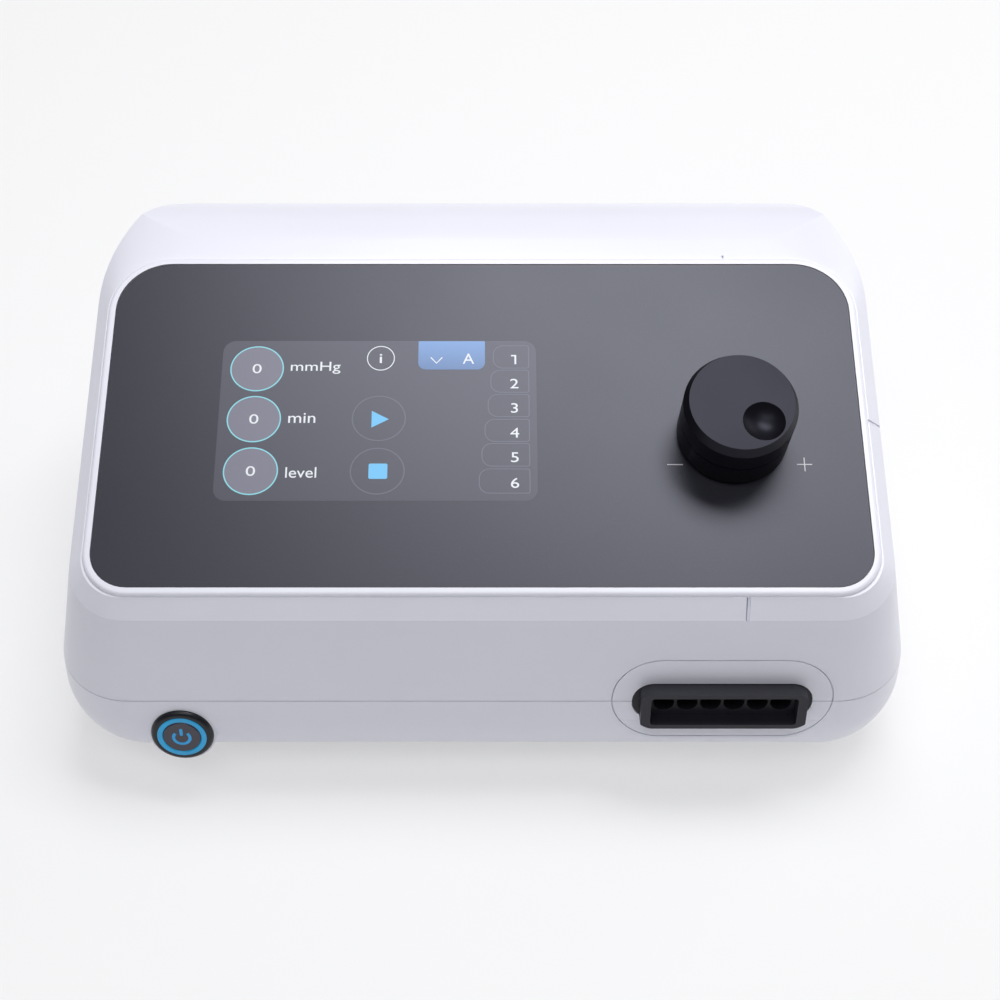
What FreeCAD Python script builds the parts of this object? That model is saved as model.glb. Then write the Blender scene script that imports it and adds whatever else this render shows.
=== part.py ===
import FreeCAD, Part
import math
import os
import re

import Sketcher

from FreeCAD import Placement, Rotation, Vector

# Compression therapy pump: a desktop air pump with a tilted glass control panel, a jog
# dial, an illuminated power button and a six-port air outlet.
# Millimetres, +Z up, origin on the table under the middle of the object, front towards -Y.
#
# Three local frames carry the pieces that sit square to a sloping wall:
#   panel  x across, y up the slope from the glass's front edge, z out of the glass
#   front  x across, y up the front wall from the seam, z out of the wall
#   rear   x across (seen from behind), y up the rear wall from the seam, z out of the wall

DIMENSIONS = [
    # case
    ("seam_height", 45.6, "seam between the two shells, above the table"),
    ("foot_height", 3.0, "gap under the lower shell"),
    ("wall", 2.6, "thickness of the shells' walls"),
    ("seam_half_width", 148.5, "half the case's width at the seam"),
    ("seam_front_y", -94.185, "front of the case at the seam"),
    ("seam_back_y", 101.387, "rear of the case at the seam"),
    ("seam_front_radius", 26.0, "front plan corners at the seam"),
    ("seam_back_radius", 54.0, "rear plan corners at the seam"),
    ("base_half_width", 155.0, "half width where the walls would meet the floor"),
    ("base_front_radius", 48.0, "front plan corners down there"),
    ("base_back_radius", 60.0, "rear plan corners down there"),
    ("base_round", 28.5, "rounding between the walls and the floor"),
    ("front_flare", 15.4, "lean of the front wall, degrees"),
    ("back_draft", 4.0, "lean of the rear wall, degrees"),
    ("seam_gap", 0.4, "open height of the seam line"),
    ("lip_height", 2.0, "tongue of the lower shell inside the upper one"),
    ("lip_inset", 1.35, "outer face of the tongue, in from the outside"),
    # panel
    ("tilt", 16.0, "slope of the panel, degrees"),
    ("glass_front_y", -77.385, "front edge of the glass"),
    ("glass_front_z", 88.8, "height of that edge"),
    ("glass_half_width", 131.0, "half the glass's width"),
    ("glass_depth", 124.8, "glass, front to back along the slope"),
    ("glass_thick", 2.0, "glass thickness"),
    ("glass_front_radius", 13.0, "front corners of the glass"),
    ("glass_back_radius", 19.0, "rear corners of the glass"),
    ("glass_gap", 0.25, "gap around the glass"),
    ("rim_width", 3.0, "raised rim around the glass"),
    ("rim_proud", 0.3, "rim above the glass"),
    ("rim_round", 1.45, "rounding of the rim's outer edge"),
    ("foot_drop", 1.2, "case top below the glass, outside the rim"),
    ("foot_half_width", 134.4, "inner edge of the side bevels"),
    ("foot_front", -3.3, "inner edge of the front bevel, along the slope"),
    ("foot_back", 0.5, "inner edge of the rear slope, behind the rim"),
    ("foot_back_radius", 22.4, "rear corners of that edge"),
    ("bevel_half_width", 139.4, "outer edge of the side bevels"),
    ("bevel_front", -9.5, "outer edge of the front bevel, along the slope"),
    ("bevel_drop", 6.5, "outer edge of the bevels, below the glass"),
    ("bevel_front_radius", 20.0, "front corners of the bevel's outer edge"),
    ("bevel_back_radius", 65.0, "rear corners of the bevel's outer edge"),
    ("roll_radius", 37.0, "radius of the rear roll-over"),
    ("tick_step", 1.1, "shallow step beside a tick's slot"),
    # glass details
    ("screen_x", -36.7, "middle of the screen"),
    ("screen_v", 62.2, "middle of the screen, up the slope"),
    ("dial_x", 86.3, "axis of the dial"),
    ("dial_v", 56.4, "axis of the dial, up the slope"),
    # dial
    ("dial_radius", 19.25, "outer radius of the dial"),
    ("dial_top", 24.5, "top of the dial above the glass"),
    ("dial_split", 12.4, "underside of the cap above the glass"),
    ("dial_lift", 1.2, "gap under the skirt"),
    ("dial_bevel", 1.65, "bevel round the cap's top, across"),
    ("dial_bevel_drop", 3.2, "the same bevel, its height"),
    ("dial_neck", 18.6, "radius of the shadow line between cap and skirt"),
    ("dimple_radius", 7.1, "finger dimple at the surface"),
    ("dimple_depth", 3.0, "depth of the dimple"),
    ("dimple_x", 6.81, "dimple's centre from the axis, across"),
    ("dimple_y", -7.2, "dimple's centre from the axis, up the slope"),
    ("shaft_radius", 3.0, "encoder shaft"),
    ("running_gap", 0.06, "radial gap of a running fit"),
    # power button
    ("button_x", -105.0, "axis of the power button"),
    ("button_drop", 15.15, "axis below the seam, along the front wall"),
    ("bezel_radius", 10.95, "outer radius of the button's bezel"),
    ("bezel_proud", 1.6, "bezel in front of the wall"),
    ("ring_radius", 8.6, "outer radius of the light ring"),
    ("cap_radius", 6.75, "radius of the moving button"),
    ("cap_proud", 2.0, "button in front of the wall"),
    ("barrel_radius", 8.0, "threaded barrel behind the bezel"),
    # air outlet
    ("outlet_x", 82.75, "middle of the six ports"),
    ("pad_half_width", 38.1, "groove round the outlet's flat land, half its width"),
    ("pad_half_height", 17.2, "half its height"),
    ("pad_rise", 1.1, "its middle above the seam"),
    ("pad_margin", 1.1, "flat land outside the groove"),
    ("housing_half_width", 31.0, "outlet housing, half its width"),
    ("housing_half_height", 7.8, "half its height"),
    ("sleeve_half_width", 28.4, "plug sleeve, outside"),
    ("sleeve_half_height", 7.6, "plug sleeve, outside"),
    ("sleeve_proud", 5.6, "sleeve in front of the wall"),
    ("sleeve_wall", 1.72, "sleeve's top and bottom walls"),
    ("sleeve_side", 3.3, "sleeve's side walls"),
    ("mouth_depth", 5.3, "depth of the sleeve's mouth"),
    ("port_radius", 3.6, "radius of an air port"),
    ("port_pitch", 8.08, "distance between ports"),
    ("port_length", 9.0, "depth of a port's wide bore"),
    ("port_count", 6, "number of air ports"),
    # rear wall
    ("inlet_x", 74.0, "middle of the mains inlet"),
    ("inlet_up", 21.0, "its height above the seam, along the wall"),
    ("inlet_half_width", 13.6, "inlet body, half its width"),
    ("inlet_half_height", 9.9, "inlet body, half its height"),
    ("fan_x", -62.0, "axis of the fan"),
    ("fan_up", 21.5, "its height above the seam, along the wall"),
    ("fan_half", 20.0, "half the fan frame's width"),
    ("fan_depth", 10.0, "depth of the fan frame"),
    ("fan_bore", 18.8, "radius of the fan's duct"),
    ("blade_radius", 18.2, "radius of the fan's blades"),
    ("slot_half", 1.5, "half the width of a vent slot"),
    ("slot_pitch", 5.2, "distance between vent slots"),
    # fixings
    ("screw_x", 116.0, "case screws, either side of the middle"),
    ("screw_front_y", -34.0, "front pair of case screws"),
    ("screw_back_y", 58.0, "rear pair of case screws"),
    ("post_radius", 4.5, "screw posts of both shells"),
    ("screw_radius", 1.25, "case screw"),
    ("foot_x", 100.0, "feet, either side of the middle"),
    ("foot_front_y", -56.0, "front feet"),
    ("foot_back_y", 56.0, "rear feet"),
    ("foot_radius", 7.5, "radius of a foot"),
    # display
    ("display_half_width", 60.35, "display module, half its width"),
    ("display_half_height", 37.9, "half its height"),
    ("display_thick", 3.4, "its thickness"),
    # compressor
    ("pump_x", -73.0, "middle of the compressor's core"),
    ("pump_y", 8.0, "its axis, front to back"),
    ("pump_z", 46.0, "its axis, above the table"),
    ("core_half", 22.0, "half the core's length, width and height"),
    ("coil_depth", 6.0, "coils above and below the core"),
    ("armature_radius", 11.0, "radius of the moving armature"),
    ("piston_radius", 14.0, "radius of the piston"),
    ("hose_in", 30.0, "air hose where it runs, behind the front wall"),
    # valves
    ("valve_half", 6.8, "half the width of a valve coil"),
    ("valve_height", 24.0, "height of a valve coil"),
    ("valve_front", -26.0, "front row of valves, behind the wall"),
    ("valve_back", -42.0, "rear row of valves, behind the wall"),
    ("plunger_radius", 2.5, "radius of a plunger"),
    ("block_top", 9.0, "top of the valve block above the seam, along the wall"),
    # boards
    ("board_thick", 1.6, "circuit boards"),
    ("board_drop", 20.0, "main board below the glass"),
]

doc = FreeCAD.newDocument("compression_therapy_pump")
sheet = doc.addObject("Spreadsheet::Sheet", "dims")
for row, (alias, value, note) in enumerate(DIMENSIONS, start=1):
    sheet.set(f"A{row}", str(value))
    sheet.setAlias(f"A{row}", alias)
    sheet.set(f"B{row}", note)
doc.recompute()

ALIASES = {alias for alias, value, note in DIMENSIONS}
NODES = {}


def back_reach(drop):
    """How far up the slope the rear wall's plane meets a plane a drop below the glass."""
    run = ("(seam_back_y - glass_front_y"
           f" - (glass_front_z - seam_height - ({drop}) * cos(tilt)) * tan(back_draft))")
    return f"(({run} - ({drop}) * sin(tilt)) / (cos(tilt) + sin(tilt) * tan(back_draft)))"


# Lengths that follow from the driving ones: the rear slope, which runs down from the rim to the
# rear bevel line, and the axis of the roll-over, which touches that slope and the rear wall.
DERIVED = {
    "slope_start": "(glass_depth + rim_width + foot_back)",
    "slope_run": f"({back_reach('bevel_drop')} - slope_start)",
    "slope_angle": "(tilt - atan((bevel_drop - foot_drop) / slope_run) / 1 deg)",
    "slope_y": "(glass_front_y + slope_start * cos(tilt) + foot_drop * sin(tilt))",
    "slope_z": "(glass_front_z + slope_start * sin(tilt) - foot_drop * cos(tilt))",
    "slope_level": "(slope_z * cos(slope_angle) - slope_y * sin(slope_angle) - roll_radius)",
    "wall_level": "(seam_back_y * cos(back_draft) + seam_height * sin(back_draft) - roll_radius)",
    "roll_y": "((wall_level * cos(slope_angle) - slope_level * sin(back_draft))"
              " / cos(slope_angle - back_draft))",
    "roll_z": "((wall_level * sin(slope_angle) + slope_level * cos(back_draft))"
              " / cos(slope_angle - back_draft))",
    "base_front_y": "(seam_front_y - (seam_height - foot_height) * tan(front_flare))",
    "base_back_y": "(seam_back_y + (seam_height - foot_height) * tan(back_draft))",
    "hose_y": "(seam_front_y + hose_in * cos(front_flare))",
    "hose_z": "(seam_height - hose_in * sin(front_flare))",
}


# ---------------------------------------------------------------- expressions
def full(expression):
    """The expression with each alias written as a cell of the sheet."""
    def spelled(match):
        word = match[0]
        if word in DERIVED:
            return full(DERIVED[word])
        return f"dims.{word}" if word in ALIASES else word
    return re.sub(r"[a-z_][a-z_0-9]*", spelled, str(expression))


def number(expression):
    """The value of an expression, as a plain number."""
    value = sheet.evalExpression(full(expression))
    return float(getattr(value, "Value", value))


def bind(thing, prop, expression):
    """Bind a property to the sheet, or set it if the expression is a plain number."""
    if isinstance(expression, (int, float)):
        expression = repr(float(expression))
    thing.setExpression(prop, full(expression))


def moved(thing, base, axis=(0, 0, 1), angle="0"):
    """Place an object by expressions: where its origin goes, and a turn about an axis."""
    thing.Placement = Placement(Vector(*(number(b) for b in base)),
                                Rotation(Vector(*axis), number(angle)))
    for name, expression in zip("xyz", base):
        bind(thing, f"Placement.Base.{name}", expression)
    if number(angle):
        bind(thing, "Placement.Rotation.Angle", angle)
    return thing


def seated(thing, base, axis, angle):
    """Move a piece as a whole; a primitive keeps its own place inside a holder."""
    if thing.TypeId in ("Part::Box", "Part::Cylinder"):
        holder = doc.addObject("Part::Compound", thing.Label + "_seated")
        holder.Links = [thing]
        thing = holder
    return moved(thing, base, axis, angle)


def on_panel(thing):
    """Seat a piece that is drawn in the panel frame."""
    return seated(thing, ("0", "glass_front_y", "glass_front_z"), (1, 0, 0), "tilt")


def on_front(thing, x="0"):
    """Seat a piece that is drawn in the front wall's frame, at x along the seam."""
    return seated(thing, (x, "seam_front_y", "seam_height"), (1, 0, 0), "90 - front_flare")


def on_button(thing):
    """Seat a piece drawn about the power button's axis, its origin in the front wall's face."""
    return seated(thing, ("button_x", "seam_front_y - button_drop * sin(front_flare)",
                          "seam_height - button_drop * cos(front_flare)"),
                  (1, 0, 0), "90 - front_flare")


def on_dial(thing):
    """Seat a piece drawn about the dial's axis, its origin in the glass's face."""
    return seated(thing, ("dial_x", "glass_front_y + dial_v * cos(tilt)",
                          "glass_front_z + dial_v * sin(tilt)"), (1, 0, 0), "tilt")


def on_rear(thing, x="0", up="0"):
    """Seat a piece drawn in the rear wall's frame, at x along the seam and this far up the wall."""
    half = math.radians((90 - number("back_draft")) / 2)
    return seated(thing, (x, f"seam_back_y - {up} * sin(back_draft)",
                          f"seam_height + {up} * cos(back_draft)"),
                  (0, math.sin(half), math.cos(half)), "180")


# ---------------------------------------------------------------- Part solids
def box(label, x, y, z):
    """Box between two expressions on each axis."""
    thing = doc.addObject("Part::Box", label)
    thing.Label = label
    for prop, (low, high) in zip(("Length", "Width", "Height"), (x, y, z)):
        bind(thing, prop, f"({high}) - ({low})")
    return moved(thing, (x[0], y[0], z[0]))


def cylinder(label, radius, span, at=("0", "0"), axis="z"):
    """Cylinder along an axis, between two expressions, at the other two coordinates."""
    thing = doc.addObject("Part::Cylinder", label)
    thing.Label = label
    bind(thing, "Radius", radius)
    bind(thing, "Height", f"({span[1]}) - ({span[0]})")
    if axis == "z":
        return moved(thing, (at[0], at[1], span[0]))
    if axis == "x":
        return moved(thing, (span[0], at[0], at[1]), (0, 1, 0), "90")
    return moved(thing, (at[0], span[0], at[1]), (-1, 0, 0), "90")


def fuse(label, things):
    """Union of several objects."""
    thing = doc.addObject("Part::MultiFuse", label)
    thing.Label = label
    thing.Shapes = things
    thing.Refine = True
    return thing


def cut(label, base, tools):
    """Base less the tools."""
    tool = tools[0] if len(tools) == 1 else fuse(label + "_cutters", tools)
    thing = doc.addObject("Part::Cut", label)
    thing.Label = label
    thing.Base = base
    thing.Tool = tool
    thing.Refine = True
    return thing


def common(label, things):
    """What several objects share."""
    thing = doc.addObject("Part::MultiCommon", label)
    thing.Label = label
    thing.Shapes = things
    thing.Refine = True
    return thing


def node(label, thing):
    """Register a finished sub-part under its node name."""
    thing.Label = label
    NODES[label] = thing
    return thing


# ---------------------------------------------------------------- sketches and bodies
def new_body(label):
    body = doc.addObject("PartDesign::Body", label)
    body.Label = label
    return body


def plane_of(body, role):
    return next(f for f in body.Origin.OriginFeatures if f.Role == role)


def new_sketch(body, name, role="XY_Plane", offset="0", shift="0", turn="0"):
    """Sketch on an origin plane, moved along its normal, shifted up it and turned about its x."""
    sketch = body.newObject("Sketcher::SketchObject", name)
    sketch.AttachmentSupport = [(plane_of(body, role), "")]
    sketch.MapMode = "FlatFace"
    sketch.AttachmentOffset = Placement(Vector(0, number(shift), number(offset)),
                                        Rotation(Vector(1, 0, 0), number(turn)))
    bind(sketch, "AttachmentOffset.Base.y", shift)
    bind(sketch, "AttachmentOffset.Base.z", offset)
    if number(turn):
        bind(sketch, "AttachmentOffset.Rotation.Angle", turn)
    return sketch


def pin(sketch, geo, pos, x=None, y=None):
    """Fix a sketch point's coordinates by expressions."""
    for kind, expression in (("DistanceX", x), ("DistanceY", y)):
        if expression is None:
            continue
        value = number(expression)
        if abs(value) < 1e-9 and "dims." not in full(expression):
            axis = -2 if kind == "DistanceX" else -1
            sketch.addConstraint(Sketcher.Constraint("PointOnObject", geo, pos, axis))
            continue
        if value >= 0:
            index = sketch.addConstraint(Sketcher.Constraint(kind, -1, 1, geo, pos, value))
            sketch.setExpression(f"Constraints[{index}]", full(expression))
        else:
            index = sketch.addConstraint(Sketcher.Constraint(kind, geo, pos, -1, 1, -value))
            sketch.setExpression(f"Constraints[{index}]", full(f"-({expression})"))


def circle(sketch, radius, x="0", y="0"):
    """Circle bound to expressions."""
    centre = Vector(number(x), number(y), 0)
    geo = sketch.addGeometry(Part.Circle(centre, Vector(0, 0, 1), number(radius)), False)
    index = sketch.addConstraint(Sketcher.Constraint("Radius", geo, number(radius)))
    sketch.setExpression(f"Constraints[{index}]", full(radius))
    pin(sketch, geo, 3, x, y)
    return geo


def polygon(sketch, points):
    """Closed outline of straight lines through points given as pairs of expressions."""
    spots = [Vector(number(x), number(y), 0) for x, y in points]
    ends = spots[1:] + spots[:1]
    first = sketch.GeometryCount
    for start, end in zip(spots, ends):
        sketch.addGeometry(Part.LineSegment(start, end), False)
    for i, (x, y) in enumerate(points):
        pin(sketch, first + i, 1, x, y)
        follower = first + (i + 1) % len(points)
        sketch.addConstraint(Sketcher.Constraint("Coincident", first + i, 2, follower, 1))


def rounded_rectangle(sketch, left, right, front, back, front_radius, back_radius=None):
    """Outline of four lines and four tangent arcs; the front and back corners may differ."""
    back_radius = back_radius or front_radius
    x0, x1, y0, y1, rf, rb = (number(e) for e in (left, right, front, back, front_radius,
                                                   back_radius))
    arcs = [(x1 - rf, y0 + rf, rf, -90), (x1 - rb, y1 - rb, rb, 0),
            (x0 + rb, y1 - rb, rb, 90), (x0 + rf, y0 + rf, rf, 180)]
    first = sketch.GeometryCount
    for x, y, r, start in arcs:
        whole = Part.Circle(Vector(x, y, 0), Vector(0, 0, 1), r)
        sketch.addGeometry(Part.ArcOfCircle(whole, math.radians(start), math.radians(start + 90)),
                           False)
    lines = [((x1, y0 + rf), (x1, y1 - rb)), ((x1 - rb, y1), (x0 + rb, y1)),
             ((x0, y1 - rb), (x0, y0 + rf)), ((x0 + rf, y0), (x1 - rf, y0))]
    for start, end in lines:
        sketch.addGeometry(Part.LineSegment(Vector(*start, 0), Vector(*end, 0)), False)
    for i in range(4):
        line = first + 4 + i
        sketch.addConstraint(Sketcher.Constraint("Tangent", first + i, 2, line, 1))
        sketch.addConstraint(Sketcher.Constraint("Tangent", line, 2, first + (i + 1) % 4, 1))
        sketch.addConstraint(Sketcher.Constraint("Vertical" if i % 2 == 0 else "Horizontal", line))
    sketch.addConstraint(Sketcher.Constraint("Equal", first, first + 3))
    sketch.addConstraint(Sketcher.Constraint("Equal", first + 1, first + 2))
    for geo, radius in ((first, front_radius), (first + 1, back_radius)):
        index = sketch.addConstraint(Sketcher.Constraint("Radius", geo, number(radius)))
        sketch.setExpression(f"Constraints[{index}]", full(radius))
    pin(sketch, first + 4, 1, x=right)
    pin(sketch, first + 5, 1, y=back)
    pin(sketch, first + 6, 1, x=left)
    pin(sketch, first + 7, 1, y=front)


def pad(body, sketch, length, name="pad"):
    """Pad a sketch along its normal."""
    feature = body.newObject("PartDesign::Pad", name)
    feature.Profile = sketch
    bind(feature, "Length", length)
    return feature


def turned(label, points):
    """Body of revolution about z, from an outline of (radius, height) expressions."""
    body = new_body(label)
    sketch = new_sketch(body, label + "_outline", "XZ_Plane")
    polygon(sketch, points)
    feature = body.newObject("PartDesign::Revolution", label + "_turning")
    feature.Profile = sketch
    feature.ReferenceAxis = (sketch, ["V_Axis"])
    feature.Angle = 360
    return body


def plate(label, outline, z):
    """Body padded between two heights from a rounded rectangle."""
    body = new_body(label)
    sketch = new_sketch(body, label + "_outline", offset=z[0])
    rounded_rectangle(sketch, *outline)
    pad(body, sketch, f"({z[1]}) - ({z[0]})")
    return body


def edges_where(feature, test):
    """Names of a feature's edges that pass a test."""
    return [f"Edge{i + 1}" for i, edge in enumerate(feature.Shape.Edges) if test(edge)]


# ---------------------------------------------------------------- case surfaces
def seam_outline(body, name, inset):
    """Plan of the case at the seam, an inset within its outer surface."""
    sketch = new_sketch(body, name, offset="seam_height")
    rounded_rectangle(sketch, f"{inset} - seam_half_width", f"seam_half_width - {inset}",
                      f"seam_front_y + {inset}", f"seam_back_y - {inset}",
                      f"seam_front_radius - {inset}", f"seam_back_radius - {inset}")
    return sketch


def panel_outline(body, name, drop, half, front, back, front_radius, back_radius):
    """Outline in a plane parallel to the glass, a drop below it, in the panel's own x and y."""
    sketch = new_sketch(body, name, offset=f"glass_front_z - ({drop}) * cos(tilt)",
                        shift=f"glass_front_y + ({drop}) * sin(tilt)", turn="tilt")
    rounded_rectangle(sketch, f"-({half})", half, front, back, front_radius, back_radius)
    return sketch


def loft(body, name, first, last):
    """Ruled loft between two sketches."""
    feature = body.newObject("PartDesign::AdditiveLoft", name)
    feature.Profile = first
    feature.Sections = [last]
    feature.Ruled = True
    return feature


def roll_over(body, name, inset):
    """Round the top of the rear wall over with one arc that starts along the rear slope."""
    sketch = new_sketch(body, name + "_outline", "YZ_Plane")
    radius = f"(roll_radius - {inset})"
    start = (f"roll_y - {radius} * sin(slope_angle)", f"roll_z + {radius} * cos(slope_angle)")
    end = (f"roll_y + {radius} * cos(back_draft)", f"roll_z + {radius} * sin(back_draft)")
    clear = "60"
    above = (f"{start[0]} - {clear} * sin(slope_angle)", f"{start[1]} + {clear} * cos(slope_angle)")
    corners = [end, (f"{end[0]} + {clear}", end[1]), (f"{end[0]} + {clear}", above[1]), above,
               start]
    spots = [Vector(number(x), number(y), 0) for x, y in corners]
    for a, b in zip(spots, spots[1:]):
        sketch.addGeometry(Part.LineSegment(a, b), False)
    whole = Part.Circle(Vector(number("roll_y"), number("roll_z"), 0), Vector(0, 0, 1),
                        number(radius))
    arc = sketch.addGeometry(Part.ArcOfCircle(whole, math.radians(number("back_draft")),
                                              math.radians(number("90 + slope_angle"))), False)
    for i, (x, y) in enumerate(corners[:4]):
        pin(sketch, i, 1, x, y)
    pin(sketch, 3, 2, *start)
    for i in range(3):
        sketch.addConstraint(Sketcher.Constraint("Coincident", i, 2, i + 1, 1))
    sketch.addConstraint(Sketcher.Constraint("Coincident", arc, 1, 0, 1))
    sketch.addConstraint(Sketcher.Constraint("Coincident", arc, 2, 3, 2))
    index = sketch.addConstraint(Sketcher.Constraint("Radius", arc, number(radius)))
    sketch.setExpression(f"Constraints[{index}]", full(radius))
    feature = body.newObject("PartDesign::Pocket", name)
    feature.Profile = sketch
    feature.Type = "ThroughAll"
    feature.SideType = "Symmetric"


def upper_blank(label, inset):
    """Solid within the upper shell's outer surface: walls, bevels, rear slope and roll-over."""
    body = new_body(label)
    seam = seam_outline(body, label + "_seam", inset)
    drop = f"bevel_drop + {inset}"
    bevel = panel_outline(body, label + "_bevel", drop, f"bevel_half_width - {inset}",
                          f"bevel_front + {inset}", f"{back_reach(drop)} - {inset}",
                          f"bevel_front_radius - {inset}", f"bevel_back_radius - {inset}")
    loft(body, label + "_walls", seam, bevel)
    rise = "(bevel_drop - foot_drop)"
    foot = panel_outline(body, label + "_top", f"foot_drop + {inset} * 1.27",
                         f"foot_half_width - {inset}", f"foot_front + {inset}",
                         f"slope_start - {inset}",
                         f"bevel_front_radius - {rise} - {inset}", f"foot_back_radius - {inset}")
    doc.recompute()
    loft(body, label + "_bevels", bevel, foot)
    roll_over(body, label + "_roll", inset)
    return body


def lower_blank(label, inset):
    """Solid within the lower shell's outer surface: walls that round into a flat floor."""
    body = new_body(label)
    seam = seam_outline(body, label + "_seam", inset)
    floor = new_sketch(body, label + "_floor", offset=f"foot_height + {inset}")
    rounded_rectangle(floor, f"{inset} - base_half_width", f"base_half_width - {inset}",
                      f"base_front_y + {inset}", f"base_back_y - {inset}",
                      f"base_front_radius - {inset}", f"base_back_radius - {inset}")
    walls = loft(body, label + "_walls", seam, floor)
    doc.recompute()
    level = number(f"foot_height + {inset}")
    rounding = body.newObject("PartDesign::Fillet", label + "_rounding")
    rounding.Base = (walls, edges_where(walls, lambda e: e.BoundBox.ZMax < level + 0.01))
    bind(rounding, "Radius", f"base_round - {inset}")
    return body


# ---------------------------------------------------------------- shells
def land(label, grow="pad_margin", z=("-5", "0")):
    """Flat obround land round the air outlet, in the front wall's frame."""
    half_height = f"(pad_half_height + {grow})"
    return plate(label, (f"-pad_half_width - {grow}", f"pad_half_width + {grow}",
                         f"pad_rise - {half_height}", f"pad_rise + {half_height}",
                         f"{half_height} - 0.01"), z)


def land_groove():
    """Fine groove along the land's edge."""
    return cut("land_groove", land("groove_outer", "0.2", ("-0.9", "1.5")),
               [land("groove_inner", "-0.2", ("-1.5", "2"))])


def outlet_hole(label, clear):
    """Hole for the outlet housing through the front wall."""
    half_height = f"(housing_half_height + {clear})"
    return plate(label, (f"-housing_half_width - {clear}", f"housing_half_width + {clear}",
                         f"-{half_height}", half_height, f"{half_height} - 0.35"), ("-14", "2"))


def tick_cuts(label, low, high, inset):
    """What two marks in line with the dial take from the front and right-hand bevels."""
    deep = ("-bevel_drop - 1", "0")
    front = box(f"{label}_front", (f"dial_x + 1.6 + {low}", f"dial_x + 1.6 + {high}"),
                ("bevel_front - 0.2", "foot_front + 0.2"), deep)
    side = box(f"{label}_side", ("foot_half_width - 0.3", "bevel_half_width + 0.2"),
               (f"dial_v + 5.3 + {low}", f"dial_v + 5.3 + {high}"), deep)
    return cut(f"{label}_in_depth", fuse(label, [on_panel(front), on_panel(side)]),
               [upper_blank(f"{label}_core", inset)])


def tick_grooves():
    """Marks in line with the dial: two slots with a shallow step, and one small slot behind."""
    back = on_panel(box("tick_back", ("dial_x + 0.8", "dial_x + 1.5"),
                        ("glass_depth + rim_width - 0.4", "glass_depth + rim_width + 1.8"),
                        ("-foot_drop - 1", "0")))
    return [tick_cuts("tick_slots", "-0.25", "0.25", "1"),
            tick_cuts("tick_steps", "0.25", "tick_step", "0.3"), back]


def screw_posts(label, span):
    """Round posts at the case screws, between two heights."""
    return fuse(label, [cylinder(f"{label}_{i}", "post_radius", span, spot)
                        for i, spot in enumerate(SCREW_SPOTS, start=1)])


BOARD_SPOTS = [(x, y) for x in ("43", "121") for y in ("53", "107")]
SUPPLY_SPOTS = [(x, y) for x in ("27", "101") for y in ("14", "76")]
SCREW_SPOTS = [(f"{side}screw_x", y) for y in ("screw_front_y", "screw_back_y") for side in ("-", "")]
FOOT_SPOTS = [(f"{side}foot_x", y) for y in ("foot_front_y", "foot_back_y") for side in ("-", "")]


def vent_slots(label, spots, half_length, z):
    """Slots side by side in a wall's own frame, at x positions with their half lengths."""
    slots = []
    for i, (x, middle) in enumerate(spots):
        half = half_length(i)
        slots.append(box(f"{label}_{i}", (f"{x} - slot_half", f"{x} + slot_half"),
                         (f"{middle} - {half}", f"{middle} + {half}"), z))
    return fuse(label, slots)


def rear_vents():
    """Upright slots within the fan's duct, longest in the middle."""
    spots = [(f"slot_pitch * {i}", "fan_up") for i in range(-3, 4)]
    vents = vent_slots("rear_slots", spots,
                       lambda i: f"sqrt((fan_bore - 1.8)^2 - (slot_pitch * {abs(i - 3)})^2)",
                       ("-6", "4"))
    return on_rear(vents, "fan_x")


def floor_vents():
    """Air intake slots in the floor below the power supply."""
    spots = [(f"56 + slot_pitch * {i}", "30") for i in range(8)]
    return vent_slots("floor_slots", spots, lambda i: "16", ("foot_height - 1", "foot_height + 6"))


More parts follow.
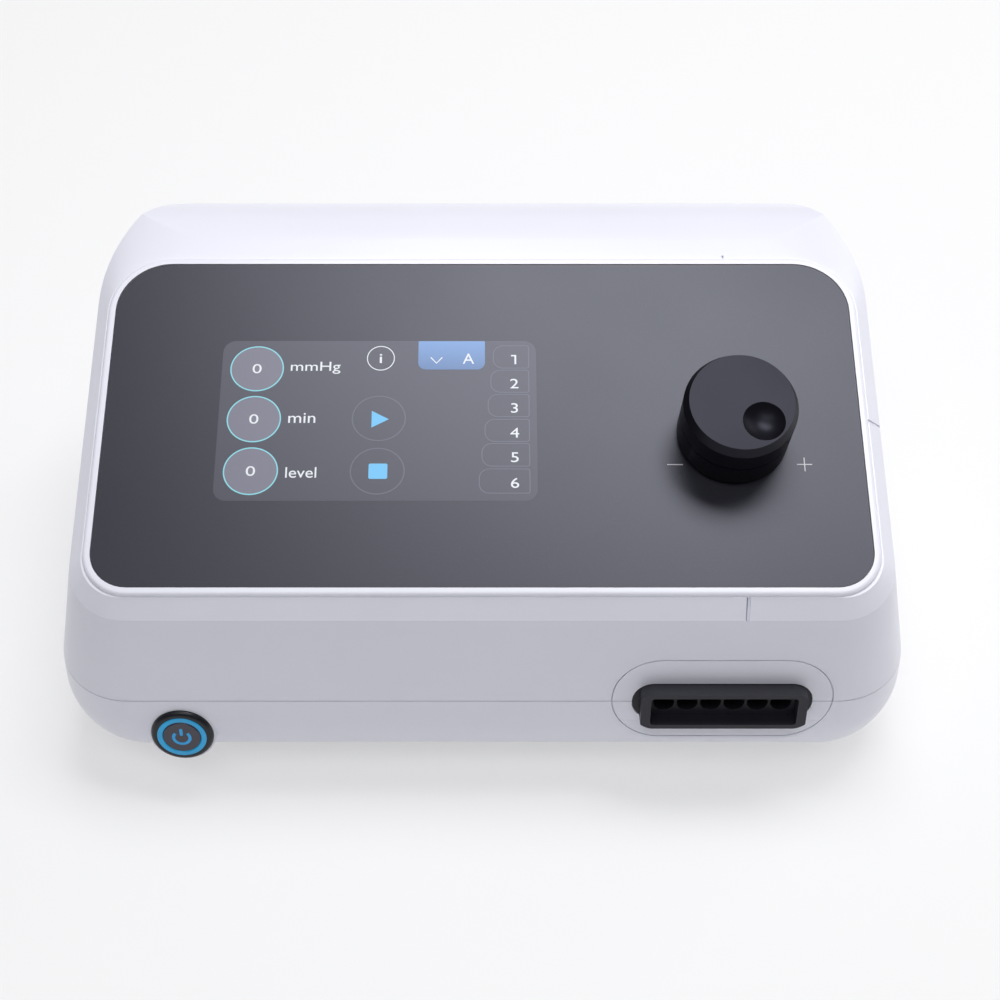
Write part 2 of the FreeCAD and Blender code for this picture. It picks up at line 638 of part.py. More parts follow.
def upper_shell():
    outer = upper_blank("upper_outer", "0")
    rim = plate("rim", ("-glass_half_width - rim_width", "glass_half_width + rim_width",
                        "-rim_width", "glass_depth + rim_width",
                        "glass_front_radius + rim_width", "glass_back_radius + rim_width"),
                ("-4", "rim_proud"))
    doc.recompute()
    crest = number("rim_proud")
    flat = rim.Tip
    rounding = rim.newObject("PartDesign::Fillet", "rim_rounding")
    rounding.Base = (flat, edges_where(flat, lambda e: e.BoundBox.ZMin > crest - 0.01))
    bind(rounding, "Radius", "rim_round")
    on_panel(rim)
    hollow = cut("upper_hollow", fuse("upper_solid", [outer, rim]),
                 [upper_blank("upper_cavity", "wall")])
    posts = common("upper_posts_in_wall", [
        screw_posts("upper_posts", ("seam_height", "130")), upper_blank("post_limit", "1")])
    ears = [on_panel(cylinder(f"board_post_{i}", "3", ("-board_drop", "-3.4"), (x, y)))
            for i, (x, y) in enumerate(BOARD_SPOTS, start=1)]
    front_land = cut("upper_land", on_front(land("upper_land_whole"), "outlet_x"),
                     [box("upper_land_trim", ("-200", "200"), ("-200", "0"), ("0", "seam_height"))])
    solid = fuse("upper_with_posts", [hollow, posts, front_land, *ears])
    seat = plate("glass_seat", ("-glass_half_width - glass_gap", "glass_half_width + glass_gap",
                                "-glass_gap", "glass_depth + glass_gap",
                                "glass_front_radius + glass_gap",
                                "glass_back_radius + glass_gap"),
                 ("-glass_thick - 0.2", "rim_proud + 1"))
    window = plate("display_window",
                   ("screen_x - display_half_width - 1", "screen_x + display_half_width + 1",
                    "screen_v - display_half_height - 1", "screen_v + display_half_height + 1",
                    "3"), ("-8", "0"))
    dial_hole = on_dial(cylinder("dial_hole", "15", ("-8", "0")))
    for opening in (seat, window):
        on_panel(opening)
    pilots = [cylinder(f"pilot_{i}", "screw_radius",
                       ("seam_height - 1", "seam_height + 14"), spot)
              for i, spot in enumerate(SCREW_SPOTS, start=1)]
    ear_pilots = [on_panel(cylinder(f"ear_pilot_{i}", "1.0", ("-board_drop - 1", "-board_drop + 8"),
                                    spot)) for i, spot in enumerate(BOARD_SPOTS, start=1)]
    below = box("below_seam", ("-200", "200"), ("-200", "200"),
                ("seam_height - 10", "seam_height + seam_gap / 2"))
    rebate = common("rebate", [upper_blank("rebate_blank", "(lip_inset - 0.2)"),
                               box("rebate_slab", ("-200", "200"), ("-200", "200"),
                                   ("seam_height - 1", "seam_height + lip_height + 0.25"))])
    rebate_ring = cut("rebate_ring", rebate,
                      [fuse("post_keepers", [cylinder(f"keeper_{i}", "post_radius + 0.01",
                                                      ("seam_height - 2", "seam_height + 5"), spot)
                                             for i, spot in enumerate(SCREW_SPOTS, start=1)])])
    inlet = on_rear(plate("inlet_hole", ("-inlet_half_width - 0.2", "inlet_half_width + 0.2",
                                         "inlet_up - inlet_half_height - 0.2",
                                         "inlet_up + inlet_half_height + 0.2", "1.5"),
                          ("-8", "4")), "inlet_x")
    tools = [seat, window, dial_hole, *pilots, *ear_pilots, below, rebate_ring, inlet,
             rear_vents(), *tick_grooves(), on_front(land_groove(), "outlet_x"),
             on_front(outlet_hole("upper_outlet_hole", "0.15"), "outlet_x")]
    return node("upper_shell", cut("upper_shell", solid, tools))


def lower_shell():
    outlet_land = on_front(cut("outlet_land", land("outlet_land_whole"),
                               [box("land_on_wall", ("-60", "60"), ("-8.8", "30"), ("-6", "1"))]),
                           "outlet_x")
    hollow = cut("lower_hollow", fuse("lower_with_land", [lower_blank("lower_outer", "0"),
                                                          outlet_land]),
                 [lower_blank("lower_cavity", "wall")])
    tongue_blank = upper_blank("tongue_outer", "lip_inset")
    tongue_slab = box("tongue_slab", ("-200", "200"), ("-200", "200"),
                      ("seam_height", "seam_height + lip_height"))
    tongue = cut("tongue", common("tongue_solid", [tongue_blank, tongue_slab]),
                 [upper_blank("tongue_inner", "wall")])
    roots = cut("tongue_root", box("tongue_root_slab", ("-200", "200"), ("-200", "200"),
                                   ("seam_height - 0.5", "seam_height + 0.01")),
                [lower_blank("root_inner", "wall")])
    root = common("tongue_base", [roots, lower_blank("root_outer", "lip_inset")])
    posts = screw_posts("lower_posts", ("foot_height + 1", "seam_height - 0.2"))
    boss = on_button(cylinder("button_boss", "bezel_radius + 0.7", ("-12", "0")))
    stands = fuse("supply_stands", [cylinder(f"supply_stand_{i}", "3", ("foot_height + 1", "12"), spot)
                                    for i, spot in enumerate(SUPPLY_SPOTS, start=1)])
    above = box("above_seam", ("-200", "200"), ("-200", "200"),
                ("seam_height - seam_gap / 2", "seam_height + 40"))
    trimmed = cut("lower_trimmed", fuse("lower_solid", [hollow, posts, boss, stands]), [above])
    tongue_notch = box("tongue_notch", ("outlet_x - housing_half_width - 8",
                                        "outlet_x + housing_half_width + 8"),
                       ("seam_front_y - 20", "seam_front_y + 16"),
                       ("seam_height - seam_gap / 2", "seam_height + 10"))
    tongued = fuse("lower_tongued", [trimmed, cut("tongue_parts", fuse("tongue_whole",
                                                                         [tongue, root]),
                                                  [tongue_notch])])
    shafts = [cylinder(f"screw_hole_{i}", "screw_radius + 0.25", ("foot_height - 1", "seam_height"),
                       spot) for i, spot in enumerate(SCREW_SPOTS, start=1)]
    counterbores = [cylinder(f"counterbore_{i}", "3.3", ("foot_height - 1", "foot_height + 26"),
                             spot) for i, spot in enumerate(SCREW_SPOTS, start=1)]
    foot_holes = [cylinder(f"foot_hole_{i}", "3", ("foot_height - 1", "foot_height + 5"), spot)
                  for i, spot in enumerate(FOOT_SPOTS, start=1)]
    stand_pilots = [cylinder(f"stand_pilot_{i}", "1", ("6.4", "13"), spot)
                    for i, spot in enumerate(SUPPLY_SPOTS, start=1)]
    barrel_hole = on_button(cylinder("barrel_hole", "barrel_radius + 0.1", ("-30", "3")))
    tools = [*shafts, *counterbores, *foot_holes, *stand_pilots, barrel_hole, floor_vents(),
             on_front(land_groove(), "outlet_x"),
             on_front(outlet_hole("lower_outlet_hole", "0.15"), "outlet_x")]
    return node("lower_shell", cut("lower_shell", tongued, tools))


# ---------------------------------------------------------------- shared shapes
def turned_on_x(label, points, y, z):
    """Solid of revolution about an axis along x, from (x, radius) expressions."""
    body = new_body(label)
    sketch = new_sketch(body, label + "_outline", "XZ_Plane")
    polygon(sketch, points)
    feature = body.newObject("PartDesign::Revolution", label + "_turning")
    feature.Profile = sketch
    feature.ReferenceAxis = (sketch, ["H_Axis"])
    feature.Angle = 360
    return moved(body, ("0", y, z))


def hexagon_nut(label, across, hole, z):
    """Hexagonal nut between two heights."""
    body = new_body(label)
    sketch = new_sketch(body, label + "_outline", offset=z[0])
    corner = f"({across}) / sqrt(3)"
    polygon(sketch, [(f"{corner} * cos({a})", f"{corner} * sin({a})")
                     for a in (30, 90, 150, 210, 270, 330)])
    circle(sketch, hole)
    pad(body, sketch, f"({z[1]}) - ({z[0]})")
    return body


def coil_spring(label, radius, wire, start, height, turns):
    """Round-wire spring along z."""
    body = new_body(label)
    sketch = new_sketch(body, label + "_wire", "XZ_Plane")
    circle(sketch, wire, radius, start)
    helix = body.newObject("PartDesign::AdditiveHelix", label + "_coils")
    helix.Profile = sketch
    helix.ReferenceAxis = (sketch, ["V_Axis"])
    helix.Mode = "pitch-height-angle"
    bind(helix, "Height", height)
    bind(helix, "Pitch", f"({height}) / {turns}")
    return body


def blocks(label, rows):
    """Union of boxes given as (x, y, z) pairs."""
    return fuse(label, [box(f"{label}_{i}", *row) for i, row in enumerate(rows, start=1)])


# ---------------------------------------------------------------- panel pieces
def fascia_glass():
    body = new_body("glass_plate")
    sketch = new_sketch(body, "glass_outline", offset="-glass_thick")
    rounded_rectangle(sketch, "-glass_half_width", "glass_half_width", "0", "glass_depth",
                      "glass_front_radius", "glass_back_radius")
    circle(sketch, "3.7", "dial_x", "dial_v")
    pad(body, sketch, "glass_thick")
    return node("fascia_glass", on_panel(body))


def glass_tape():
    strip = plate("tape_outer", ("1 - glass_half_width", "glass_half_width - 1", "1",
                                 "glass_depth - 1", "glass_front_radius - 1",
                                 "glass_back_radius - 1"), ("-glass_thick - 0.2", "-glass_thick"))
    inside = plate("tape_inner", ("9 - glass_half_width", "glass_half_width - 9", "9",
                                  "glass_depth - 9", "glass_front_radius - 9",
                                  "glass_back_radius - 9"), ("-glass_thick - 1", "0"))
    return node("glass_tape", on_panel(cut("tape", strip, [inside])))


def about_screen(half_width, half_height):
    """The x and y pairs of a rectangle centred on the screen."""
    return ((f"screen_x - {half_width}", f"screen_x + {half_width}"),
            (f"screen_v - {half_height}", f"screen_v + {half_height}"))


def display():
    back = "(glass_thick + display_thick)"
    module = box("display_block", *about_screen("display_half_width", "display_half_height"),
                 (f"-{back}", "-glass_thick"))
    node("display_module", on_panel(fuse("display", [module, box(
        "display_socket", ("10", "18"), ("57", "75"), (f"-{back} - 1.2", f"-{back} + 0.5"))])))
    tray = box("tray", *about_screen("70", "33"), (f"-{back} - 1", "-glass_thick - wall"))
    well = box("tray_well", *about_screen("(display_half_width + 1.5)", "40"), (f"-{back}", "0"))
    window = box("tray_window", *about_screen("55", "24"), ("-12", "0"))
    node("display_bracket", on_panel(cut("bracket", tray, [well, window])))
    ribbon = new_body("ribbon")
    path = new_sketch(ribbon, "ribbon_path", "XZ_Plane", offset="-74")
    polygon(path, [("13.8", f"-{back} - 1.2"), ("13.8", "-15"), ("47.8", "-15"), ("47.8", "-17.5"),
                   ("48.1", "-17.5"), ("48.1", "-14.7"), ("14.1", "-14.7"),
                   ("14.1", f"-{back} - 1.2")])
    pad(ribbon, path, "16")
    return node("display_ribbon", on_panel(ribbon))


def main_board():
    top = "-board_drop"
    under = "-board_drop - board_thick"
    board = box("board", ("38", "126"), ("48", "112"), (under, top))
    parts = blocks("board_parts", [
        (("44", "52"), ("57", "75"), (top, f"{top} + 2.5")),
        (("58", "72"), ("84", "98"), (top, f"{top} + 1.6")),
        (("78", "86"), ("88", "96"), (top, f"{top} + 1.2")),
        (("92", "104"), ("84", "102"), (top, f"{top} + 3")),
        (("50", "62"), ("102", "109"), (top, f"{top} + 7")),
        (("68", "80"), ("102", "109"), (top, f"{top} + 7")),
        (("86", "98"), ("104", "110"), (top, f"{top} + 7")),
        (("106", "114"), ("72", "80"), (top, f"{top} + 4")),
        (("56", "66"), ("60", "70"), (f"{under} - 5", under)),
        (("80", "100"), ("60", "66"), (f"{under} - 6", under)),
        (("70", "76"), ("76", "88"), (f"{under} - 3", under))])
    drums = [cylinder(f"capacitor_{i}", "3.2", (f"{under} - 9", under), (x, "74"))
             for i, x in enumerate(("86", "95", "104"), start=1)]
    holes = [cylinder(f"board_hole_{i}", "1.2", (f"{under} - 1", f"{top} + 1"), spot)
             for i, spot in enumerate(BOARD_SPOTS, start=1)]
    return node("main_board", on_panel(cut("board_with_holes",
                                           fuse("board_whole", [board, parts, *drums]), holes)))


def small_screw(label, at, seat, length, into=1):
    """Board screw: its head's bearing face at a height, its shank going up or down."""
    spans = [(f"{seat} - 1.4", seat), (seat, f"{seat} + {length}")]
    if into < 0:
        spans = [(seat, f"{seat} + 1.4"), (f"{seat} - {length}", seat)]
    return fuse(label, [cylinder(label + "_head", "2", spans[0], at),
                        cylinder(label + "_shank", "1", spans[1], at)])


def board_screws():
    seat = "(-board_drop - board_thick)"
    upper = [on_panel(small_screw(f"board_screw_{i}", spot, seat, "8"))
             for i, spot in enumerate(BOARD_SPOTS, start=1)]
    lower = [small_screw(f"supply_screw_{i}", spot, "(12 + board_thick)", "7", into=-1)
             for i, spot in enumerate(SUPPLY_SPOTS, start=1)]
    return node("board_screws", fuse("all_board_screws", upper + lower))


# ---------------------------------------------------------------- dial
def encoder():
    case = box("encoder_case", ("-6.2", "6.2"), ("-6.6", "6.6"), ("-8.5", "-glass_thick"))
    bushing = cylinder("bushing", "3.45", ("-glass_thick", "7"))
    chamber = cylinder("encoder_chamber", "5.7", ("-8", "-3"))
    bore = cylinder("bushing_bore", "shaft_radius + running_gap", ("-8", "8"))
    node("encoder_body", on_dial(cut("encoder", fuse("encoder_solid", [case, bushing]),
                                     [chamber, bore])))
    node("encoder_nut", on_dial(hexagon_nut("nut_on_bushing", "11", "3.45", ("0", "2.2"))))
    board = box("encoder_card", ("-14", "14"), ("-13", "13"), ("-8.5 - board_thick", "-8.5"))
    plug = box("encoder_plug", ("-5", "5"), ("-12.5", "-8"), ("-8.5", "-3.5"))
    node("encoder_board", on_dial(fuse("encoder_card_whole", [board, plug])))
    ring = cylinder("rotor_ring", "5.3", ("-7.4", "-3.4"))
    hole = cut("rotor_hole", cylinder("rotor_bore", "shaft_radius + running_gap", ("-9", "-2")),
               [box("rotor_flat", ("2.4 + running_gap", "6"), ("-6", "6"), ("-9", "-2"))])
    node("encoder_rotor", on_dial(cut("rotor", ring, [hole])))
    shaft = cylinder("shaft_bar", "shaft_radius", ("-7.1", "dial_top - 3.5"))
    flat = box("shaft_flat", ("2.4", "6"), ("-6", "6"), ("-8", "-2.6"))
    return node("encoder_shaft", on_dial(cut("shaft", shaft, [flat])))


def dial():
    roof = "dial_top - 4.2"
    blind = "dial_top - 3.5"
    cap = turned("cap_turned", [
        ("shaft_radius", "9"), ("6", "9"), ("6", roof), ("15.8", roof), ("15.8", "dial_split - 0.5"),
        ("dial_neck", "dial_split - 0.5"), ("dial_neck", "dial_split"),
        ("dial_radius", "dial_split"), ("dial_radius", "dial_top - dial_bevel_drop"),
        ("dial_radius - dial_bevel", "dial_top"), ("0", "dial_top"), ("0", blind),
        ("shaft_radius", blind)])
    ball = "((dimple_radius^2 + dimple_depth^2) / (2 * dimple_depth))"
    hollow = doc.addObject("Part::Sphere", "dimple_ball")
    bind(hollow, "Radius", ball)
    moved(hollow, ("dimple_x", "dimple_y", f"dial_top + {ball} - dimple_depth"))
    node("dial_cap", on_dial(cut("cap_with_dimple", cap, [hollow])))
    skirt = turned("skirt_turned", [
        ("6", "9.4"), ("15", "9.4"), ("15", "dial_lift"), ("dial_radius - 0.4", "dial_lift"),
        ("dial_radius", "dial_lift + 0.4"), ("dial_radius", "dial_split - 0.5"),
        ("15", "dial_split - 0.5"), ("15", "11"), ("6", "11")])
    return node("dial_skirt", on_dial(skirt))


# ---------------------------------------------------------------- power button
def power_button():
    bore = "(cap_radius + running_gap)"
    bezel = turned("bezel_turned", [
        (bore, "0.4"), ("ring_radius", "0.4"), ("ring_radius", "bezel_proud"),
        ("bezel_radius", "bezel_proud"), ("bezel_radius", "0"), ("barrel_radius", "0"),
        ("barrel_radius", "-22"), ("2.2 + running_gap", "-22"), ("2.2 + running_gap", "-18"),
        (bore, "-18")])
    doc.recompute()
    turning = bezel.Tip
    crest, brink = number("bezel_proud") - 0.01, number("bezel_radius") - 0.01
    dome = bezel.newObject("PartDesign::Fillet", "bezel_dome")
    dome.Base = (turning, edges_where(turning, lambda e: e.BoundBox.ZMin > crest
                                      and e.BoundBox.XMax > brink))
    bind(dome, "Radius", "bezel_proud - 0.05")
    node("button_bezel", on_button(bezel))
    glow = turned("ring_turned", [
        (bore, "0.4"), ("ring_radius", "0.4"), ("ring_radius", "1.7"),
        ("ring_radius - 0.2", "1.9"), (f"{bore} + 0.2", "1.9"), (bore, "1.7")])
    node("light_ring", on_button(glow))
    cap = turned("cap_of_button", [
        ("0", "cap_proud"), ("cap_radius - 0.4", "cap_proud"), ("cap_radius", "cap_proud - 0.4"),
        ("cap_radius", "-6"), ("5.6", "-6"), ("5.6", "-1"), ("2.2", "-1"), ("2.2", "-20.4"),
        ("0", "-20.4")])
    node("power_button", on_button(cap))
    node("button_spring", on_button(coil_spring("push_spring", "4", "0.35", "-15.6", "14.2", 6)))
    node("button_nut", on_button(hexagon_nut("nut_on_barrel", "18", "barrel_radius",
                                             ("-15", "-12"))))
    block = cylinder("switch_block", "7.6", ("-34", "-22"))
    tabs = blocks("switch_tabs", [((f"{x} - 0.4", f"{x} + 0.4"), ("-2.4", "2.4"), ("-39", "-34"))
                                  for x in ("-4", "0", "4")])
    return node("button_switch", on_button(fuse("switch", [block, tabs])))


# ---------------------------------------------------------------- air outlet and valves
def port_x(i):
    """Position of a port's axis across the outlet, from 1 at the left."""
    return f"(port_pitch * ({i} - (port_count + 1) / 2))"


def each_port(make):
    return [make(i) for i in range(1, int(number("port_count")) + 1)]


def rounded_block(label, half_width, half_height, radius, z):
    return plate(label, (f"-({half_width})", half_width, f"-({half_height})", half_height,
                         radius), z)


def outlet():
    flange = rounded_block("housing_block", "housing_half_width", "housing_half_height",
                           "housing_half_height - 0.01", ("-12", "-0.4"))
    keeper = rounded_block("housing_keeper", "36", "12", "4", ("-7.5", "-5"))
    sleeve = common("sleeve_trimmed", [
        rounded_block("sleeve_block", "sleeve_half_width", "sleeve_half_height", "1.2",
                      ("-1", "sleeve_proud")),
        rounded_block("sleeve_limit", "housing_half_width - 0.1", "housing_half_height - 0.1",
                      "housing_half_height - 0.11", ("-2", "sleeve_proud + 1"))])
    tails = each_port(lambda i: cylinder(f"tail_{i}", "3.2", ("-20", "-12"), (port_x(i), "0")))
    mouth = rounded_block("mouth", "sleeve_half_width - sleeve_side",
                          "sleeve_half_height - sleeve_wall", "1.2",
                          ("sleeve_proud - mouth_depth", "sleeve_proud + 1"))
    face = "(sleeve_proud - mouth_depth)"
    wide = each_port(lambda i: cylinder(f"port_{i}", "port_radius", (f"{face} - port_length", "3"),
                                        (port_x(i), "0")))
    fine = each_port(lambda i: cylinder(f"throat_{i}", "2", ("-21", "0"), (port_x(i), "0")))
    solid = fuse("housing_solid", [flange, keeper, sleeve, *tails])
    node("outlet_housing", on_front(cut("housing", solid, [mouth, *wide, *fine]), "outlet_x"))
    seals = each_port(lambda i: cut(f"seal_{i}", cylinder(f"seal_outer_{i}", "3.85",
                                                          ("-17", "-15.5"), (port_x(i), "0")),
                                    [cylinder(f"seal_inner_{i}", "3.2", ("-18", "-14"),
                                              (port_x(i), "0"))]))
    return node("outlet_seals", on_front(fuse("seals", seals), "outlet_x"))


def valve_z(i):
    """Ports 1, 3 and 5 are served by the front row of valves, the others by the rear row."""
    return "valve_front" if i % 2 else "valve_back"


def valve_manifold():
    block = box("manifold_block", ("-34", "34"), ("-9", "block_top"), ("-50", "-12.4"))
    spigot = cylinder("manifold_spigot", "2.5", ("-46", "-34"), ("0", "-hose_in"), "x")
    sockets = each_port(lambda i: cylinder(f"socket_{i}", "3.85", ("-20.4", "-12"),
                                           (port_x(i), "0")))
    ways = each_port(lambda i: cylinder(f"way_{i}", "1.6", (valve_z(i), "-20"), (port_x(i), "0")))
    wells = each_port(lambda i: cylinder(f"well_{i}", "plunger_radius + running_gap",
                                         ("1", "block_top + 1"), (port_x(i), valve_z(i)), "y"))
    drops = each_port(lambda i: cylinder(f"drop_{i}", "1.2", ("-5.5", "2"),
                                         (port_x(i), valve_z(i)), "y"))
    galleries = [cylinder(f"gallery_{z}", "1.6", ("-32", "32"), ("-5.5", z), "x")
                 for z in ("valve_front", "valve_back")]
    feed = cylinder("feed", "1.4", ("-47", "-28"), ("0", "-hose_in"), "x")
    link = box("gallery_link", ("-31", "-28"), ("-7", "1.4"), ("-43.4", "-24.6"))
    solid = fuse("manifold_solid", [block, spigot])
    return node("valve_manifold", on_front(cut("manifold", solid, [
        *sockets, *ways, *wells, *drops, *galleries, feed, link]), "outlet_x"))


def valves():
    for i in range(1, int(number("port_count")) + 1):
        x, z = port_x(i), valve_z(i)
        coil = box(f"coil_block_{i}", (f"{x} - valve_half", f"{x} + valve_half"),
                   ("block_top", "block_top + valve_height"),
                   (f"{z} - valve_half", f"{z} + valve_half"))
        lugs = box(f"coil_lugs_{i}", (f"{x} - 3", f"{x} + 3"),
                   ("block_top + valve_height", "block_top + valve_height + 3"),
                   (f"{z} - 0.4", f"{z} + 0.4"))
        bore = cylinder(f"coil_bore_{i}", "plunger_radius + running_gap",
                        ("block_top - 1", "block_top + valve_height - 3"), (x, z), "y")
        node(f"valve_coil_{i}", on_front(cut(f"coil_{i}", fuse(f"coil_solid_{i}", [coil, lugs]),
                                             [bore]), "outlet_x"))
        plunger = cylinder(f"plunger_{i}", "plunger_radius", ("2.6", "17"), (x, z), "y")
        node(f"valve_plunger_{i}", on_front(plunger, "outlet_x"))


def pressure_sensor():
    body = box("sensor_block", ("27.5", "33.5"), ("block_top", "block_top + 6"), ("-31", "-21"))
    cap = cylinder("sensor_cap", "2.4", ("block_top + 6", "block_top + 8"), ("30.5", "-26"), "y")
    return node("pressure_sensor", on_front(fuse("sensor", [body, cap]), "outlet_x"))


# ---------------------------------------------------------------- compressor
def along(offset):
    """Position along the compressor's axis."""
    return f"(pump_x + ({offset}))"


def compressor():
    y = ("pump_y - core_half", "pump_y + core_half")
    z = ("pump_z - core_half", "pump_z + core_half")
    core = box("core", (along("-core_half"), along("core_half")), y, z)
    gap = cylinder("core_bore", "armature_radius + 0.35", (along("-core_half - 1"),
                                                           along("core_half + 1")),
                   ("pump_y", "pump_z"), "x")
    node("pump_stator", cut("stator", core, [gap]))
    windings = []
    for name, low, high in (("upper", z[1], f"{z[1]} + coil_depth"),
                            ("lower", f"{z[0]} - coil_depth", z[0])):
        windings.append(box(f"winding_{name}", (along("-16"), along("16")),
                            ("pump_y - 17", "pump_y + 17"), (low, high)))
    node("pump_coils", fuse("windings", windings))
    front = along("-core_half")
    barrel = turned_on_x("cylinder_turned", [
        (f"{front} - 22", "piston_radius + running_gap"), (f"{front} - 22", "19"),
        (f"{front} - 3", "19"), (f"{front} - 3", "21"), (front, "21"),
        (front, "piston_radius + running_gap")], "pump_y", "pump_z")
    node("pump_cylinder", barrel)
    face = f"({front} - 22)"
    head = turned_on_x("head_turned", [
        (face, "9"), (face, "19"), (f"{face} - 13", "19"), (f"{face} - 15", "17"),
        (f"{face} - 15", "4"), (f"{face} - 2.5", "4"), (f"{face} - 2.5", "9")],
        "pump_y", "pump_z")
    spout = cylinder("spout", "2.5", ("pump_y - 32", "pump_y - 15"), (f"{face} - 10", "hose_z"),
                     "y")
    drill = cylinder("spout_drill", "1.6", ("pump_y - 33", "pump_y - 2"), (f"{face} - 10", "hose_z"),
                     "y")
    node("pump_head", cut("head", fuse("head_solid", [head, spout]), [drill]))
    rod = turned_on_x("piston_turned", [
        (f"{front} - 18", "0"), (f"{front} - 18", "piston_radius - 0.5"),
        (f"{front} - 17.5", "piston_radius"), (f"{front} - 10", "piston_radius"),
        (f"{front} - 10", "4"), (f"{front} + 4", "4"), (f"{front} + 4", "armature_radius"),
        (f"{front} + 40", "armature_radius"), (f"{front} + 40", "4"), (f"{front} + 48", "4"),
        (f"{front} + 48", "0")], "pump_y", "pump_z")
    node("pump_piston", rod)
    back = along("core_half")
    cap = turned_on_x("rear_cap_turned", [
        (back, "13"), (back, "18"), (f"{back} + 14", "18"), (f"{back} + 16", "16"),
        (f"{back} + 16", "0"), (f"{back} + 13.5", "0"), (f"{back} + 13.5", "13")],
        "pump_y", "pump_z")
    node("pump_rear_cap", cap)
    spring = coil_spring("return_spring", "7", "0.8", "0.8", "11", 4)
    node("pump_spring", moved(spring, (f"{front} + 40", "pump_y", "pump_z"), (0, 1, 0), "90"))


def pump_mounting():
    base = box("cradle_base", (along("-27"), along("27")), ("pump_y - 36", "pump_y + 36"),
               ("12", "14"))
    sides = [box(f"cradle_side_{name}", (along("-20"), along("20")), span, ("12", "pump_z + 4"))
             for name, span in (("front", ("pump_y - core_half - 2", "pump_y - core_half")),
                                ("back", ("pump_y + core_half", "pump_y + core_half + 2")))]
    saddles = [box(f"saddle_{name}", span, ("pump_y - core_half", "pump_y + core_half"),
                   ("14", "pump_z - core_half"))
               for name, span in (("left", (along("-20.5"), along("-18.5"))),
                                  ("right", (along("18.5"), along("20.5"))))]
    spots = [(along(x), f"pump_y {y}") for x in ("-22", "22") for y in ("- 30", "+ 30")]
    eyes = [cylinder(f"cradle_eye_{i}", "3", ("11", "15"), spot)
            for i, spot in enumerate(spots, start=1)]
    node("pump_bracket", cut("cradle", fuse("cradle_solid", [base, *sides, *saddles]), eyes))
    mounts = []
    for i, spot in enumerate(spots, start=1):
        mounts.append(fuse(f"isolator_{i}", [
            cylinder(f"isolator_base_{i}", "6", ("foot_height + wall", "12"), spot),
            cylinder(f"isolator_neck_{i}", "3", ("12", "14"), spot),
            cylinder(f"isolator_head_{i}", "4.5", ("14", "16.5"), spot)]))
    node("pump_isolators", fuse("isolators", mounts))
    face = f"({along('-core_half')} - 37)"
    filter_case = turned_on_x("filter_turned", [
        (f"{face} - 9", "0"), (f"{face} - 9", "8"), (f"{face} - 8", "9"), (f"{face} - 1", "9"),
        (f"{face} - 1", "3.4"), (f"{face} + 6", "3.4"), (f"{face} + 6", "0")],
        "pump_y", "pump_z")
    node("intake_filter", filter_case)


def hose_run(label, radius):
    """Straight run, quarter bend, straight run, in the plane of the hose."""
    x0 = "(pump_x - core_half - 32)"
    bend = "20"
    straight = cylinder(label + "_side", radius, (f"hose_y + {bend}", "pump_y - 20"), (x0, "hose_z"),
                        "y")
    across = cylinder(label + "_across", radius, (f"{x0} + {bend}", "outlet_x - 36"),
                      ("hose_y", "hose_z"), "x")
    corner = doc.addObject("Part::Torus", label + "_bend")
    bind(corner, "Radius1", bend)
    bind(corner, "Radius2", radius)
    corner.Angle3 = 90
    moved(corner, (f"{x0} + {bend}", f"hose_y + {bend}", "hose_z"), (0, 0, 1), "180")
    return fuse(label, [straight, across, corner])


def air_hose():
    return node("air_hose", cut("hose", hose_run("hose_outer", "3.7"),
                                [hose_run("hose_inner", "2.5")]))


# ---------------------------------------------------------------- rear wall and floor
def fan():
    near = "(-wall - 0.15)"
    far = f"({near} - fan_depth)"
    frame = rounded_block("fan_block", "fan_half", "fan_half", "3", (far, near))
    duct = cylinder("fan_duct", "fan_bore", (f"{far} + 1.4", f"{near} + 1"))
    back_duct = cylinder("fan_back_duct", "fan_bore", (f"{far} - 1", f"{far} + 2"))
    corners = [cylinder(f"fan_hole_{i}", "1.7", (f"{far} - 1", f"{near} + 1"),
                        (f"{x}16", f"{y}16"))
               for i, (x, y) in enumerate([(x, y) for x in ("-", "") for y in ("-", "")], start=1)]
    shell = cut("fan_shell", frame, [duct, back_duct, *corners])
    arms = [moved(box(f"fan_arm_{i}", ("0", "fan_bore + 0.6"), ("-1.25", "1.25"), ("0", "1.4")),
                  (f"1.25 * sin({a})", f"-1.25 * cos({a})", far), (0, 0, 1), str(a))
            for i, a in enumerate((20, 140, 260), start=1)]
    boss = cylinder("fan_boss", "9", (far, f"{far} + 1.4"))
    pin_bar = cylinder("fan_pin", "1.5", (far, f"{near} - 2"))
    node("fan_frame", on_rear(fuse("fan_frame_whole", [shell, *arms, boss, pin_bar]), "fan_x",
                              "fan_up"))
    hub = cylinder("fan_hub", "10", (f"{far} + 1.9", f"{near} - 0.8"))
    blades = []
    for i in range(7):
        body = new_body(f"blade_{i + 1}")
        sketch = new_sketch(body, f"blade_outline_{i + 1}", "YZ_Plane", offset="9.4")
        polygon(sketch, [("-4", f"{far} + 2.3"), ("-3", f"{far} + 2.3"), ("4", f"{near} - 1.2"),
                         ("3", f"{near} - 1.2")])
        pad(body, sketch, "blade_radius - 9.4")
        blades.append(moved(body, ("0", "0", "0"), (0, 0, 1), f"{i} * 360 / 7 + 8"))
    wheel = cut("fan_wheel", fuse("fan_wheel_solid", [hub, *blades]),
                [cylinder("fan_hub_bore", "1.5 + running_gap", (f"{far} + 1", f"{near} - 1.6"))])
    return node("fan_impeller", on_rear(wheel, "fan_x", "fan_up"))


